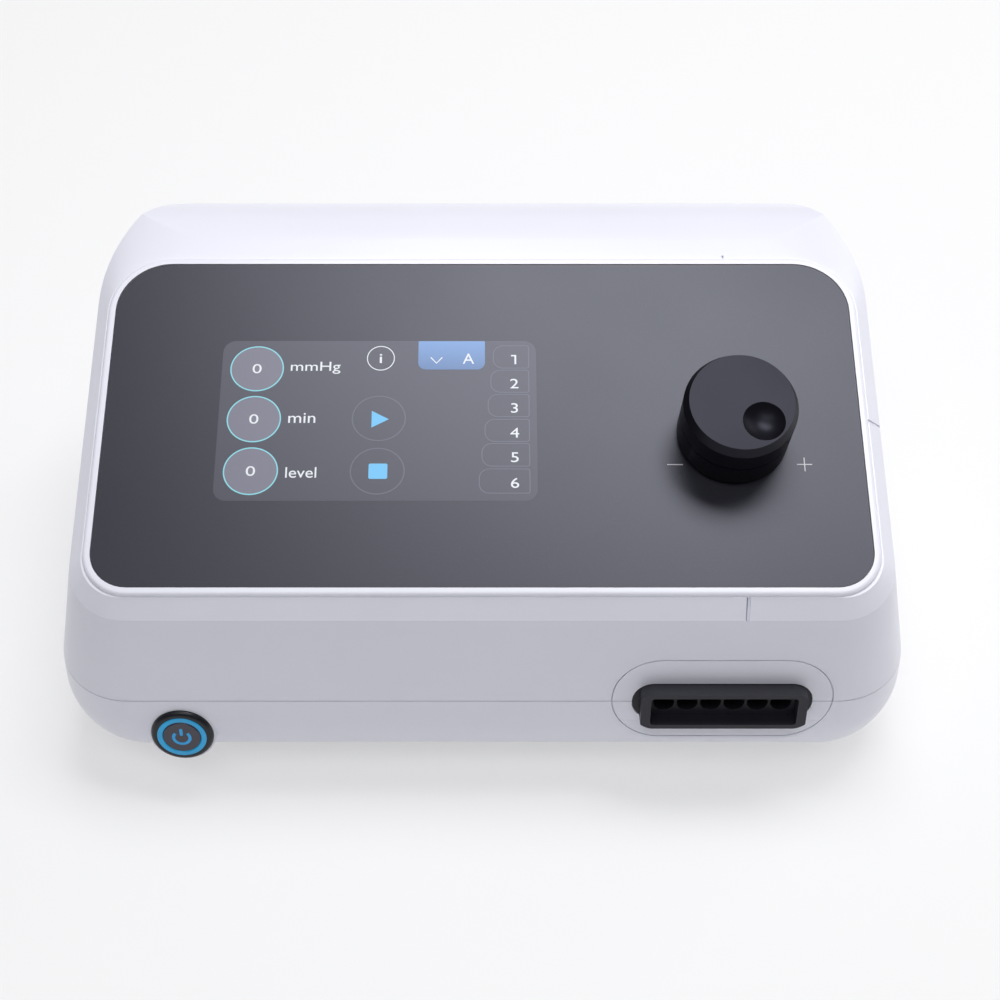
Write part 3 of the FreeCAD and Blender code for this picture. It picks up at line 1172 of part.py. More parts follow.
def mains_inlet():
    middle = "inlet_up"
    lip = plate("inlet_lip", ("-15.6", "15.6", f"{middle} - 12", f"{middle} + 12", "2.5"),
                ("0", "1.5"))
    body = plate("inlet_body", ("-inlet_half_width", "inlet_half_width",
                                f"{middle} - inlet_half_height",
                                f"{middle} + inlet_half_height", "1.5"), ("-20", "0.5"))
    socket = plate("inlet_socket", ("-12", "12", f"{middle} - 8", f"{middle} + 8", "2"),
                   ("-14", "3"))
    pins = blocks("pins", [((f"{x} - 1", f"{x} + 1"), (f"{middle} {y} - 2", f"{middle} {y} + 2"),
                            ("-27", "-3")) for x, y in (("-7", "- 1.5"), ("0", "+ 2.5"),
                                                        ("7", "- 1.5"))])
    slots = blocks("pin_slots", [((f"{x} - 1", f"{x} + 1"),
                                  (f"{middle} {y} - 2", f"{middle} {y} + 2"), ("-21", "-13"))
                                 for x, y in (("-7", "- 1.5"), ("0", "+ 2.5"), ("7", "- 1.5"))])
    node("mains_inlet", on_rear(cut("inlet", fuse("inlet_solid", [lip, body]), [socket, slots]),
                                "inlet_x"))
    return node("inlet_pins", on_rear(pins, "inlet_x"))


def power_supply():
    top = "(12 + board_thick)"
    board = box("supply_board", ("22", "106"), ("9", "81"), ("12", top))
    parts = blocks("supply_parts", [
        (("34", "60"), ("52", "74"), (top, "34")), (("70", "92"), ("56", "72"), (top, "30")),
        (("84", "98"), ("22", "46"), (top, "31")), (("32", "50"), ("14", "22"), (top, "24")),
        (("60", "64"), ("18", "48"), (top, "36")), (("70", "74"), ("18", "48"), (top, "36"))])
    drums = [cylinder(f"supply_drum_{i}", "7", (top, height), (x, y))
             for i, (x, y, height) in enumerate((("44", "38", "38"), ("46", "28", "33")), start=1)]
    holes = [cylinder(f"supply_hole_{i}", "1.2", ("11", "15"), spot)
             for i, spot in enumerate(SUPPLY_SPOTS, start=1)]
    return node("power_supply", cut("supply", fuse("supply_whole", [board, parts, *drums]), holes))


def rubber_feet():
    feet = []
    for i, (x, y) in enumerate(FOOT_SPOTS, start=1):
        foot = turned(f"foot_{i}", [
            ("0", "0"), ("foot_radius - 0.6", "0"), ("foot_radius", "0.6"),
            ("foot_radius", "foot_height"), ("3", "foot_height"), ("3", "foot_height + wall"),
            ("3.7", "foot_height + wall"), ("3.2", "foot_height + wall + 1.6"),
            ("0", "foot_height + wall + 1.6")])
        feet.append(moved(foot, (x, y, "0")))
    return node("rubber_feet", fuse("feet", feet))


def case_screws():
    screws = []
    for i, spot in enumerate(SCREW_SPOTS, start=1):
        seat = "(foot_height + 26)"
        head = cylinder(f"case_screw_head_{i}", "3", (f"{seat} - 2.4", seat), spot)
        shank = cylinder(f"case_screw_shank_{i}", "screw_radius", (seat, "seam_height + 13"), spot)
        drive = box(f"case_screw_drive_{i}", (f"{spot[0]} - 1.6", f"{spot[0]} + 1.6"),
                    (f"{spot[1]} - 0.4", f"{spot[1]} + 0.4"), (f"{seat} - 3", f"{seat} - 1.2"))
        cross = box(f"case_screw_cross_{i}", (f"{spot[0]} - 0.4", f"{spot[0]} + 0.4"),
                    (f"{spot[1]} - 1.6", f"{spot[1]} + 1.6"), (f"{seat} - 3", f"{seat} - 1.2"))
        screws.append(cut(f"case_screw_{i}", fuse(f"case_screw_solid_{i}", [head, shank]),
                          [drive, cross]))
    return node("case_screws", fuse("screws", screws))


# ---------------------------------------------------------------- build, check and write
upper_shell()
lower_shell()
fascia_glass()
glass_tape()
display()
main_board()
board_screws()
encoder()
dial()
power_button()
outlet()
valve_manifold()
valves()
pressure_sensor()
compressor()
pump_mounting()
air_hose()
fan()
mains_inlet()
power_supply()
rubber_feet()
case_screws()
doc.recompute()

broken = [thing.Label for thing in doc.Objects if {"Invalid", "Error"} & set(thing.State)]
if broken:
    raise RuntimeError("did not build: " + ", ".join(broken))

os.makedirs("parts", exist_ok=True)
for name, thing in NODES.items():
    if thing.Shape.isNull() or not thing.Shape.isValid():
        raise RuntimeError(f"{name} has no valid shape")
    thing.Shape.exportStep(f"parts/{name}.step")
    print(f"{name}: {len(thing.Shape.Solids)} solid(s), {thing.Shape.Volume:.0f} mm3")
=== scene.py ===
# %% [markdown]
# # A compression therapy pump
#
# This script dresses a finished CAD part. The CAD gives every casing, shaft and screw its
# shape and its place. Here the pieces get their finish: moulded plastic, dark glass, a lit
# screen, brushed metal and rubber. The first cell loads the part as a fixed frame. Every
# later piece is put where that frame says, in metres, with the front of the pump towards -Y.

# %% Load the frame
from math import cos, sin, radians, pi

import bmesh
import bpy
import numpy as np
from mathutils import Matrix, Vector


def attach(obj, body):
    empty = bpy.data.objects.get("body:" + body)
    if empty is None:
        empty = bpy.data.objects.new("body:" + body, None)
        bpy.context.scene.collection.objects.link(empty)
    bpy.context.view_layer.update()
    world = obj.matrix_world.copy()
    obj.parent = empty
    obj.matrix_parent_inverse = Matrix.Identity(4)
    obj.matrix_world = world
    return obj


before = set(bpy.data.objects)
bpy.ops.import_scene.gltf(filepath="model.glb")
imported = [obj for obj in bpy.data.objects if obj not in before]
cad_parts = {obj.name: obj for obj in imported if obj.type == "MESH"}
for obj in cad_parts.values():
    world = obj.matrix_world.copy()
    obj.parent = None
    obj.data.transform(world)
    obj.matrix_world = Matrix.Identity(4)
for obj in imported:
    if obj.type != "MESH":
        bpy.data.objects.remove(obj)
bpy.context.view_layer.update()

# %% [markdown]
# ## Seats on sloping walls
#
# Most pieces sit square to a wall that slopes: the glass panel or the front wall. It is
# easier to lay a piece out flat and then seat it than to work in the room's axes. Each seat
# below is an origin and three directions. A function turns local millimetres into metres in
# the room, for one point or for a whole array of them.

# %% Seats of the panel, the front wall, the button and the outlet
MM = 0.001
TILT = radians(16.0)
FLARE = radians(15.4)
GLASS_EDGE = np.array([0.0, -77.385, 88.8])
SEAM_FRONT = np.array([0.0, -94.185, 45.6])
PANEL_AXES = ((1, 0, 0), (0, cos(TILT), sin(TILT)), (0, -sin(TILT), cos(TILT)))
FRONT_AXES = ((1, 0, 0), (0, sin(FLARE), cos(FLARE)), (0, -cos(FLARE), sin(FLARE)))


def seat(origin, axes):
    """A function from local (x, y, z) millimetres to metres: origin + x across + y up + z out."""
    def place(points):
        return (np.asarray(points, float) @ np.array(axes) + origin) * MM
    return place


on_panel = seat(GLASS_EDGE, PANEL_AXES)
on_front = seat(SEAM_FRONT, FRONT_AXES)
on_button = seat(on_front((-105.0, -15.15, 0)) / MM, FRONT_AXES)
on_outlet = seat(on_front((82.75, 0, 0)) / MM, FRONT_AXES)
for where, local in (("button", on_button), ("outlet", on_outlet)):
    print(where, "sits at", np.round(local((0, 0, 0)), 4), "metres")

# %% [markdown]
# ## The camera
#
# A studio camera looks down on the pump at fifty degrees from half a metre above the floor.
# A lens of 58 mm on a 36 mm sensor keeps the sides converging a little, as a product shot
# does. The small shift moves the picture on the sensor without turning the camera.

# %% Camera
LOOK_DOWN = 50.0
camera_data = bpy.data.cameras.new("studio_camera")
camera_data.lens = 58.008
camera_data.shift_x = 0.01324
camera_data.shift_y = -0.00427
camera = bpy.data.objects.new("studio_camera", camera_data)
camera.location = (0.001549, -0.397243, 0.517085)
camera.rotation_euler = (radians(90.0 - LOOK_DOWN), 0, 0)
bpy.context.collection.objects.link(camera)
bpy.context.scene.camera = camera
bpy.context.scene.view_settings.view_transform = "Standard"
print("camera looks down", LOOK_DOWN, "degrees")

# %% [markdown]
# ## Building materials from nodes
#
# A material is a small graph. Writing each node out takes four lines, so one helper adds a
# node, sets its options and fills its inputs: a number stays a number, and another node's
# socket becomes a wire. A second helper starts a node group, which is a graph with its own
# named inputs and outputs that several materials can share.

# %% Helpers for node graphs
def add(tree, kind, inputs=(), **options):
    """Add a node to a tree, set its options, and fill or wire its inputs."""
    node = tree.nodes.new("ShaderNode" + kind)
    for option, value in options.items():
        setattr(node, option, value)
    for key, value in dict(inputs).items():
        if isinstance(value, bpy.types.NodeSocket):
            tree.links.new(value, node.inputs[key])
        else:
            node.inputs[key].default_value = value
    return node


def start_group(name, inputs, outputs):
    """An empty node group with named inputs, each with a start value, and named outputs."""
    tree = bpy.data.node_groups.new(name, "ShaderNodeTree")
    for socket, kind, value in inputs:
        made = tree.interface.new_socket(name=socket, in_out="INPUT", socket_type=kind)
        made.default_value = value
    for socket in outputs:
        tree.interface.new_socket(name=socket, in_out="OUTPUT", socket_type="NodeSocketFloat")
    return tree, tree.nodes.new("NodeGroupInput"), tree.nodes.new("NodeGroupOutput")


def in_millimetres(tree, turn=0.0):
    """Object coordinates as millimetres, turned about x so that y can follow a sloping wall."""
    place = add(tree, "TexCoord").outputs["Object"]
    return add(tree, "Mapping", {"Vector": place, "Scale": (1000, 1000, 1000),
                                 "Rotation": (turn, 0, 0)}).outputs["Vector"]


def finish_group(tree, sink, results):
    """Wire the results to the group's outputs, and say what the group holds."""
    for name, socket in results.items():
        tree.links.new(socket, sink.inputs[name])
    print("node group", tree.name, "with", len(tree.nodes), "nodes")


# %% [markdown]
# ## Moulded skin
#
# Injection-moulded plastic is never a perfect surface. The steel mould leaves a fine grain,
# and the plastic flows and shrinks unevenly, so its gloss drifts a little over a few
# centimetres. Two layers of noise give both: a fine one for the grain's height and a broad
# one for the drift in tone. Every plastic in the pump uses this group with its own sizes.

# %% Node group for moulded skin
skin, skin_in, skin_out = start_group(
    "moulded_skin", [("Grain", "NodeSocketFloat", 0.3), ("Drift", "NodeSocketFloat", 40.0)],
    ["Height", "Tone"])
spot = in_millimetres(skin)
per_grain = add(skin, "Math", {0: 1.0, 1: skin_in.outputs["Grain"]}, operation="DIVIDE")
per_drift = add(skin, "Math", {0: 1.0, 1: skin_in.outputs["Drift"]}, operation="DIVIDE")
grain = add(skin, "TexNoise", {"Vector": spot, "Scale": per_grain.outputs[0], "Detail": 3.0})
drift = add(skin, "TexNoise", {"Vector": spot, "Scale": per_drift.outputs[0], "Detail": 4.0})
finish_group(skin, skin_out, {"Height": grain.outputs["Fac"], "Tone": drift.outputs["Fac"]})

# %% [markdown]
# ## Streaks
#
# Brushed and rolled metal is scratched in one direction. Noise that is squeezed across the
# scratches and stretched along them looks the same. The group takes the stretch as a vector,
# in noise cells per millimetre along each axis, so one group serves steel plate, a stack of
# core laminations and a turned shaft.

# %% Node group for streaks
streaks, streaks_in, streaks_out = start_group(
    "streaks", [("Stretch", "NodeSocketVector", (0.05, 4.0, 4.0))], ["Streak"])
stretched = add(streaks, "VectorMath", {0: in_millimetres(streaks),
                                        1: streaks_in.outputs["Stretch"]}, operation="MULTIPLY")
scratch = add(streaks, "TexNoise", {"Vector": stretched.outputs["Vector"], "Scale": 1.0,
                                    "Detail": 5.0, "Roughness": 0.6})
finish_group(streaks, streaks_out, {"Streak": scratch.outputs["Fac"]})

# %% [markdown]
# ## Ripples
#
# Copper windings, ribbed rubber and the turns of a lathe tool all repeat at a fixed pitch. A
# sine along one direction is enough: the group takes that direction and the pitch, and gives
# a height between 0 and 1. The materials turn it into a bump and into a line between
# neighbouring turns: on the copper a painted shade, on the film its lighter conductors.

# %% Node group for ripples at a pitch
ripples, ripples_in, ripples_out = start_group(
    "ripples", [("Direction", "NodeSocketVector", (0.0, 0.0, 1.0)),
                ("Pitch", "NodeSocketFloat", 0.6)], ["Height"])
reach = add(ripples, "VectorMath", {0: in_millimetres(ripples),
                                    1: ripples_in.outputs["Direction"]}, operation="DOT_PRODUCT")
turns = add(ripples, "Math", {0: reach.outputs["Value"], 1: ripples_in.outputs["Pitch"]},
            operation="DIVIDE")
angle = add(ripples, "Math", {0: turns.outputs[0], 1: 2 * pi}, operation="MULTIPLY")
wave = add(ripples, "Math", {0: angle.outputs[0]}, operation="SINE")
lifted = add(ripples, "Math", {0: wave.outputs[0], 1: 0.5, 2: 0.5}, operation="MULTIPLY_ADD")
finish_group(ripples, ripples_out, {"Height": lifted.outputs[0]})

# %% [markdown]
# ## Settled dust
#
# Even a new device carries a little dust where surfaces face up, inside the case above all.
# The surface's normal says how far up it faces, and a broken noise keeps the dust from being
# even. The group gives a mask, and a material uses it to lighten its colour very slightly.
# The case, the dial, the button and the outlet are wiped clean, so their amount is 0.

# %% Node group for dust
dust, dust_in, dust_out = start_group(
    "settled_dust", [("Amount", "NodeSocketFloat", 0.3)], ["Mask"])
facing = add(dust, "SeparateXYZ", {0: add(dust, "NewGeometry").outputs["Normal"]})
upward = add(dust, "MapRange", {"Value": facing.outputs["Z"], "From Min": 0.3, "From Max": 1.0})
specks = add(dust, "TexNoise", {"Vector": in_millimetres(dust), "Scale": 1.7, "Detail": 8.0})
broken = add(dust, "MapRange", {"Value": specks.outputs["Fac"], "From Min": 0.55,
                                "From Max": 0.75})
laid = add(dust, "Math", {0: upward.outputs[0], 1: broken.outputs[0]}, operation="MULTIPLY")
weighed = add(dust, "Math", {0: laid.outputs[0], 1: dust_in.outputs["Amount"]},
              operation="MULTIPLY")
finish_group(dust, dust_out, {"Mask": weighed.outputs[0]})

# %% [markdown]
# ## Screen dots
#
# A touch display is a grid of tiny lamps. From a hand's width away the grid just shows as a
# fine evenness in the light. Two triangle waves, across and up the panel, fall to nothing at
# each cell's edge, and the smaller of the two gives the gap between the dots.

# %% Node group for the display's dots
DOT_PITCH = 0.14
dots, dots_in, dots_out = start_group("screen_dots", [("Pitch", "NodeSocketFloat", DOT_PITCH)],
                                      ["Light"])
flat = add(dots, "SeparateXYZ", {0: in_millimetres(dots, -TILT)})
fades = []
for axis in "XY":
    cell = add(dots, "Math", {0: flat.outputs[axis], 1: dots_in.outputs["Pitch"]},
               operation="DIVIDE")
    fades.append(add(dots, "Math", {0: cell.outputs[0], 1: 0.5}, operation="PINGPONG"))
nearest = add(dots, "Math", {0: fades[0].outputs[0], 1: fades[1].outputs[0]}, operation="MINIMUM")
light = add(dots, "MapRange", {"Value": nearest.outputs[0], "From Min": 0.0, "From Max": 0.16,
                               "To Min": 0.86, "To Max": 1.03})
finish_group(dots, dots_out, {"Light": light.outputs[0]})

# %% [markdown]
# ## Board tracks
#
# A circuit board is green lacquer over copper tracks. The tracks show as slightly lighter
# lines that run square to each other, with round pads where parts are soldered. A brick
# pattern gives the lines and a cell pattern gives the pads, and the group puts out one mask
# for each.

# %% Node group for circuit tracks
tracks, tracks_in, tracks_out = start_group("board_tracks", [("Pitch", "NodeSocketFloat", 3.0)],
                                            ["Track", "Pad"])
board_spot = in_millimetres(tracks, -TILT)
per_pitch = add(tracks, "Math", {0: 1.0, 1: tracks_in.outputs["Pitch"]}, operation="DIVIDE")
lines = add(tracks, "TexBrick", {"Vector": board_spot, "Scale": per_pitch.outputs[0],
                                 "Mortar Size": 0.07, "Mortar Smooth": 0.2, "Brick Width": 1.7,
                                 "Row Height": 0.4})
cells = add(tracks, "TexVoronoi", {"Vector": board_spot, "Scale": per_pitch.outputs[0]})
pads = add(tracks, "MapRange", {"Value": cells.outputs["Distance"], "From Min": 0.16,
                                "From Max": 0.12})
finish_group(tracks, tracks_out, {"Track": lines.outputs["Fac"], "Pad": pads.outputs[0]})

# %% [markdown]
# ## One plain way to paint moulded pieces
#
# Most pieces are moulded plastic, rubber or lacquer that differ in colour, gloss and grain.
# One function makes such a material: two close colours drift into each other, the roughness
# drifts with them, dust lightens what faces up, and the grain feeds a bump. What is the same
# all over, such as the strength of the reflection, is set straight on the shader.

# %% Moulded materials
def new_material(name):
    """A material with nodes: the material, its tree and its Principled shader."""
    made = bpy.data.materials.new(name)
    made.use_nodes = True
    return made, made.node_tree, made.node_tree.nodes["Principled BSDF"]


def group_in(tree, group, **values):
    """Place a node group in a material with its own values."""
    node = tree.nodes.new("ShaderNodeGroup")
    node.node_tree = group
    for key, value in values.items():
        node.inputs[key.capitalize()].default_value = value
    return node


def blend(tree, mask, one, other):
    """A colour that goes from one to the other where the mask goes from 0 to 1."""
    node = add(tree, "Mix", {"Factor": mask}, data_type="RGBA")
    for socket, colour in ((node.inputs["A"], one), (node.inputs["B"], other)):
        if isinstance(colour, bpy.types.NodeSocket):
            tree.links.new(colour, socket)
        else:
            socket.default_value = (*colour, 1)
    return node.outputs["Result"]


def spread(tree, value, low, high):
    """A value's middle half stretched between a low and a high number."""
    return add(tree, "MapRange", {"Value": value, "From Min": 0.3, "From Max": 0.7,
                                  "To Min": low, "To Max": high}).outputs[0]


def raised(tree, shader, height, depth):
    """A bump of so many millimetres, wired to the shader."""
    bump = add(tree, "Bump", {"Height": height, "Distance": depth * MM, "Strength": 1.0})
    tree.links.new(bump.outputs["Normal"], shader.inputs["Normal"])


def moulded(name, colour, other, gloss, grain=0.3, depth=0.004, dusty=0.1, **constants):
    """Two drifting colours, a drifting roughness, dust on what faces up, and a grain."""
    made, tree, shader = new_material(name)
    surface = group_in(tree, skin, grain=grain, drift=45.0)
    settled = group_in(tree, dust, amount=dusty)
    tone = spread(tree, surface.outputs["Tone"], 0.0, 1.0)
    drifted = blend(tree, tone, colour, other)
    dusted = blend(tree, settled.outputs["Mask"], drifted, (0.55, 0.55, 0.56))
    tree.links.new(dusted, shader.inputs["Base Color"])
    tree.links.new(spread(tree, surface.outputs["Tone"], *gloss), shader.inputs["Roughness"])
    raised(tree, shader, surface.outputs["Height"], depth)
    for key, value in constants.items():
        shader.inputs[key.replace("_", " ")].default_value = value
    return made


FINISHES = {
    "case_plastic": moulded("satin_white_case", (0.81, 0.815, 0.90), (0.825, 0.83, 0.915),
                            (0.285, 0.335), grain=0.5, depth=0.0012, dusty=0.0),
    "foam": moulded("closed_cell_tape", (0.03, 0.03, 0.032), (0.05, 0.05, 0.052), (0.8, 0.95),
                    grain=0.4, depth=0.08),
    "display": moulded("display_backing", (0.05, 0.05, 0.06), (0.07, 0.07, 0.08), (0.3, 0.45)),
    "black_plastic": moulded("grained_black_plastic", (0.020, 0.020, 0.023),
                             (0.032, 0.032, 0.036), (0.42, 0.6), grain=0.25, depth=0.02),
    "grey_plastic": moulded("grained_grey_plastic", (0.30, 0.31, 0.33), (0.36, 0.37, 0.39),
                            (0.4, 0.58), grain=0.25, depth=0.02),
    "dial_plastic": moulded("satin_black_dial", (0.0035, 0.0035, 0.0055),
                            (0.005, 0.005, 0.0075), (0.36, 0.42), grain=0.35, depth=0.003,
                            dusty=0.0, Specular_IOR_Level=0.24,
                            Specular_Tint=(0.76, 0.78, 1.0, 1.0)),
    "bezel_plastic": moulded("polished_black_bezel", (0.010, 0.011, 0.015),
                             (0.014, 0.015, 0.020), (0.28, 0.32), depth=0.001, dusty=0.0,
                             Specular_IOR_Level=0.35),
    "button_face": moulded("smoked_button_face", (0.045, 0.040, 0.060), (0.056, 0.050, 0.074),
                           (0.30, 0.38), depth=0.002, dusty=0.0),
    "outlet_plastic": moulded("outlet_plastic", (0.020, 0.020, 0.028), (0.026, 0.026, 0.035),
                              (0.42, 0.5), grain=0.3, depth=0.008, dusty=0.0,
                              Specular_IOR_Level=0.34),
    "seal_rubber": moulded("grey_seal_rubber", (0.045, 0.046, 0.050), (0.065, 0.066, 0.071),
                           (0.55, 0.7), grain=0.5, depth=0.03),
    "hose_rubber": moulded("clear_grey_hose", (0.42, 0.44, 0.45), (0.5, 0.52, 0.53),
                           (0.3, 0.4), grain=0.6, depth=0.01),
    "coil_case": moulded("valve_coil_moulding", (0.05, 0.07, 0.12), (0.07, 0.09, 0.15),
                         (0.4, 0.55), grain=0.3, depth=0.02),
}
print("moulded finishes:", ", ".join(FINISHES))

# %% [markdown]
# ## Metals
#
# Steel plate, cast alloy, core laminations and plated pins differ in their marks, not in
# kind. Each is a metal whose roughness and height follow streaks or grain. The core's sheets
# are stacked along one axis, so its streaks are thin across the stack and endless along it.

# %% Metal materials
def metal(name, colour, other, gloss, stretch, depth=0.004):
    """Bare metal whose tone, gloss and height follow streaks."""
    made, tree, shader = new_material(name)
    marks = group_in(tree, streaks, stretch=stretch)
    tone = spread(tree, marks.outputs["Streak"], 0.0, 1.0)
    tree.links.new(blend(tree, tone, colour, other), shader.inputs["Base Color"])
    tree.links.new(spread(tree, marks.outputs["Streak"], *gloss), shader.inputs["Roughness"])
    raised(tree, shader, marks.outputs["Streak"], depth)
    shader.inputs["Metallic"].default_value = 1.0
    return made


FINISHES.update({
    "steel": metal("brushed_steel", (0.52, 0.52, 0.54), (0.66, 0.66, 0.67), (0.26, 0.42),
                   (0.04, 5.0, 5.0)),
    "core_steel": metal("stacked_core_steel", (0.16, 0.16, 0.17), (0.34, 0.34, 0.35),
                        (0.35, 0.55), (2.0, 0.02, 0.02), depth=0.03),
    "cast_alloy": metal("cast_alloy", (0.50, 0.51, 0.52), (0.62, 0.62, 0.63), (0.42, 0.6),
                        (1.4, 1.4, 1.4), depth=0.04),
    "brass_pins": metal("plated_pins", (0.70, 0.60, 0.36), (0.80, 0.72, 0.50), (0.2, 0.32),
                        (3.0, 0.1, 3.0)),
})
print("metal finishes made, so there are now", len(FINISHES))

# %% [markdown]
# ## Windings and film
#
# Two finishes inside the case repeat at a fixed pitch. Copper wire lies in even turns, with
# painted shade between one turn and the next. The display's ribbon is amber film with
# parallel conductors running along it. Both take their lines from the ripples group.

# %% Copper and flexible film
copper, tree, shader = new_material("enamelled_copper_wire")
coil = group_in(tree, ripples, direction=(0.0, 1.0, 1.0), pitch=0.8)
# The dark copper colour is painted shade in the crevice between turns, on top of the real bump.
tree.links.new(blend(tree, coil.outputs["Height"], (0.16, 0.045, 0.015), (0.62, 0.24, 0.09)),
               shader.inputs["Base Color"])
raised(tree, shader, coil.outputs["Height"], 0.2)
shader.inputs["Metallic"].default_value = 0.85
shader.inputs["Roughness"].default_value = 0.33
FINISHES["copper"] = copper

film, tree, shader = new_material("amber_ribbon_film")
conductors = group_in(tree, ripples, direction=(0.0, cos(TILT), sin(TILT)), pitch=0.5)
tree.links.new(blend(tree, conductors.outputs["Height"], (0.42, 0.17, 0.03), (0.66, 0.36, 0.10)),
               shader.inputs["Base Color"])
raised(tree, shader, conductors.outputs["Height"], 0.03)
shader.inputs["Roughness"].default_value = 0.3
FINISHES["flex"] = film
print("windings and film made")

# %% [markdown]
# ## Boards and the parts on them
#
# A circuit board is a flat green sheet, and the parts soldered to it have colours of their
# own. Each board is one piece here, so its finish asks where a point lies. The group below
# gives 1 inside a box: the distance from the box's middle is taken from half its size, and
# the least of the three results says whether the point is within.

# %% Node group for a box
boxes, boxes_in, boxes_out = start_group(
    "inside_box", [("Place", "NodeSocketVector", (0.0, 0.0, 0.0)),
                   ("Middle", "NodeSocketVector", (0.0, 0.0, 0.0)),
                   ("Half", "NodeSocketVector", (1.0, 1.0, 1.0))], ["Mask"])
away = add(boxes, "VectorMath", {0: boxes_in.outputs["Place"], 1: boxes_in.outputs["Middle"]},
           operation="SUBTRACT")
away = add(boxes, "VectorMath", {0: away.outputs["Vector"]}, operation="ABSOLUTE")
spare = add(boxes, "VectorMath", {0: boxes_in.outputs["Half"], 1: away.outputs["Vector"]},
            operation="SUBTRACT")
spare = add(boxes, "SeparateXYZ", {0: spare.outputs["Vector"]})
least = add(boxes, "Math", {0: spare.outputs["X"], 1: spare.outputs["Y"]}, operation="MINIMUM")
least = add(boxes, "Math", {0: least.outputs[0], 1: spare.outputs["Z"]}, operation="MINIMUM")
within = add(boxes, "Math", {0: least.outputs[0], 1: 0.0}, operation="GREATER_THAN")
finish_group(boxes, boxes_out, {"Mask": within.outputs[0]})

# %% [markdown]
# ## Boards of three kinds
#
# Between the sheet's two faces a board is green lacquer with tracks, and off the sheet it is a
# black part. A list of boxes, each between two corners in millimetres, then picks out what
# isn't black: ivory connectors, a taped transformer, a grey film capacitor, and bare aluminium
# on heat sinks and capacitor tops. The small board under the dial carries only its lacquer.

# %% Board materials
LACQUER, TRACK, PAD = (0.018, 0.11, 0.05), (0.035, 0.19, 0.08), (0.62, 0.60, 0.52)
BLACK_PART, IVORY, TAPE = (0.016, 0.016, 0.018), (0.62, 0.60, 0.50), (0.60, 0.40, 0.06)
FILM_GREY, ALUMINIUM = (0.30, 0.32, 0.36), (0.58, 0.58, 0.60)
FAR = 400.0


def mask_of(tree, place, low, high):
    """1 inside the box between two corners, in millimetres."""
    low, high = np.array(low, float), np.array(high, float)
    node = group_in(tree, boxes, middle=(low + high) / 2, half=(high - low) / 2)
    tree.links.new(place, node.inputs["Place"])
    return node.outputs["Mask"]


def board_finish(name, turn=0.0, origin=(0, 0, 0), sheet=None, parts=(), bare=()):
    """Lacquer and tracks inside the sheet, black off it, and boxes of other colours or metal."""
    made, tree, shader = new_material(name)
    etched = group_in(tree, tracks, pitch=3.2)
    colour = blend(tree, etched.outputs["Track"], LACQUER, TRACK)
    colour = blend(tree, etched.outputs["Pad"], colour, PAD)
    raised(tree, shader, etched.outputs["Track"], 0.03)
    shader.inputs["Roughness"].default_value = 0.38
    if sheet:
        place = add(tree, "VectorMath", {0: in_millimetres(tree, turn), 1: origin},
                    operation="SUBTRACT").outputs["Vector"]
        flat_sheet = mask_of(tree, place, (-FAR, -FAR, sheet[0]), (FAR, FAR, sheet[1]))
        colour = blend(tree, flat_sheet, BLACK_PART, colour)
        metallic = 0.0
        for low, high, tint in parts:
            colour = blend(tree, mask_of(tree, place, low, high), colour, tint)
        for low, high in bare:
            here = mask_of(tree, place, low, high)
            colour = blend(tree, here, colour, ALUMINIUM)
            metallic = add(tree, "Math", {0: here, 1: metallic}, operation="MAXIMUM").outputs[0]
        if bare:
            tree.links.new(metallic, shader.inputs["Metallic"])
    tree.links.new(colour, shader.inputs["Base Color"])
    return made


SHEET, SKIN = 1.6, 0.01
BOARD_TOP, BOARD_UNDER = -20.0, -20.0 - SHEET
SUPPLY_UNDER, SUPPLY_TOP = 12.0, 12.0 + SHEET
OVER_BOARD, OVER_SUPPLY = BOARD_TOP + 2 * SKIN, SUPPLY_TOP + 2 * SKIN
CAN_HIGH, CAN_END = 9.0, 0.1
PANEL_ORIGIN = (0.0, float(GLASS_EDGE @ np.array(PANEL_AXES[1])),
                float(GLASS_EDGE @ np.array(PANEL_AXES[2])))
FINISHES["circuit_board"] = board_finish("green_circuit_board")
BOARDS = {
    "main_board": board_finish(
        "main_board_with_parts", -TILT, PANEL_ORIGIN, (BOARD_UNDER - SKIN, BOARD_TOP + SKIN),
        parts=[((44, 57, OVER_BOARD), (52, 75, 0), IVORY),
               ((50, 102, OVER_BOARD), (62, 109.01, 0), IVORY),
               ((68, 102, OVER_BOARD), (80, 109.01, 0), IVORY),
               ((86, 104, OVER_BOARD), (98, 110.01, 0), IVORY)],
        bare=[((80, 68, BOARD_UNDER - CAN_HIGH - CAN_END),
               (112, 80, BOARD_UNDER - CAN_HIGH + CAN_END))]),
    "power_supply": board_finish(
        "power_supply_with_parts", sheet=(SUPPLY_UNDER - 0.1, SUPPLY_TOP + SKIN),
        parts=[((33.9, 51.9, OVER_SUPPLY), (60.1, 74.1, 35), TAPE),
               ((83.9, 21.9, OVER_SUPPLY), (98.1, 46.1, 32), FILM_GREY),
               ((31.9, 13.9, OVER_SUPPLY), (50.1, 22.1, 24.1), IVORY)],
        bare=[((59.9, 17.9, OVER_SUPPLY), (64.1, 48.1, 37)),
              ((69.9, 17.9, OVER_SUPPLY), (74.1, 48.1, 37)),
              # tops of the two capacitors
              ((36.5, 30.5, 37.95), (51.5, 45.5, 38.05)),
              ((38.5, 20.5, 32.95), (53.5, 35.5, 33.05))]),
}
print("board finishes:", ", ".join(BOARDS))

# %% [markdown]
# ## The glass panel
#
# The panel is a sheet of glass printed dark grey on its back, so light never comes through
# it except from the display. A clear glass with a printed layer behind would need refraction
# to look right and would hide the solids under it in the same way. Here the sheet is treated
# as one dark body with the glass's own reflection on top, slightly etched against fingerprints.

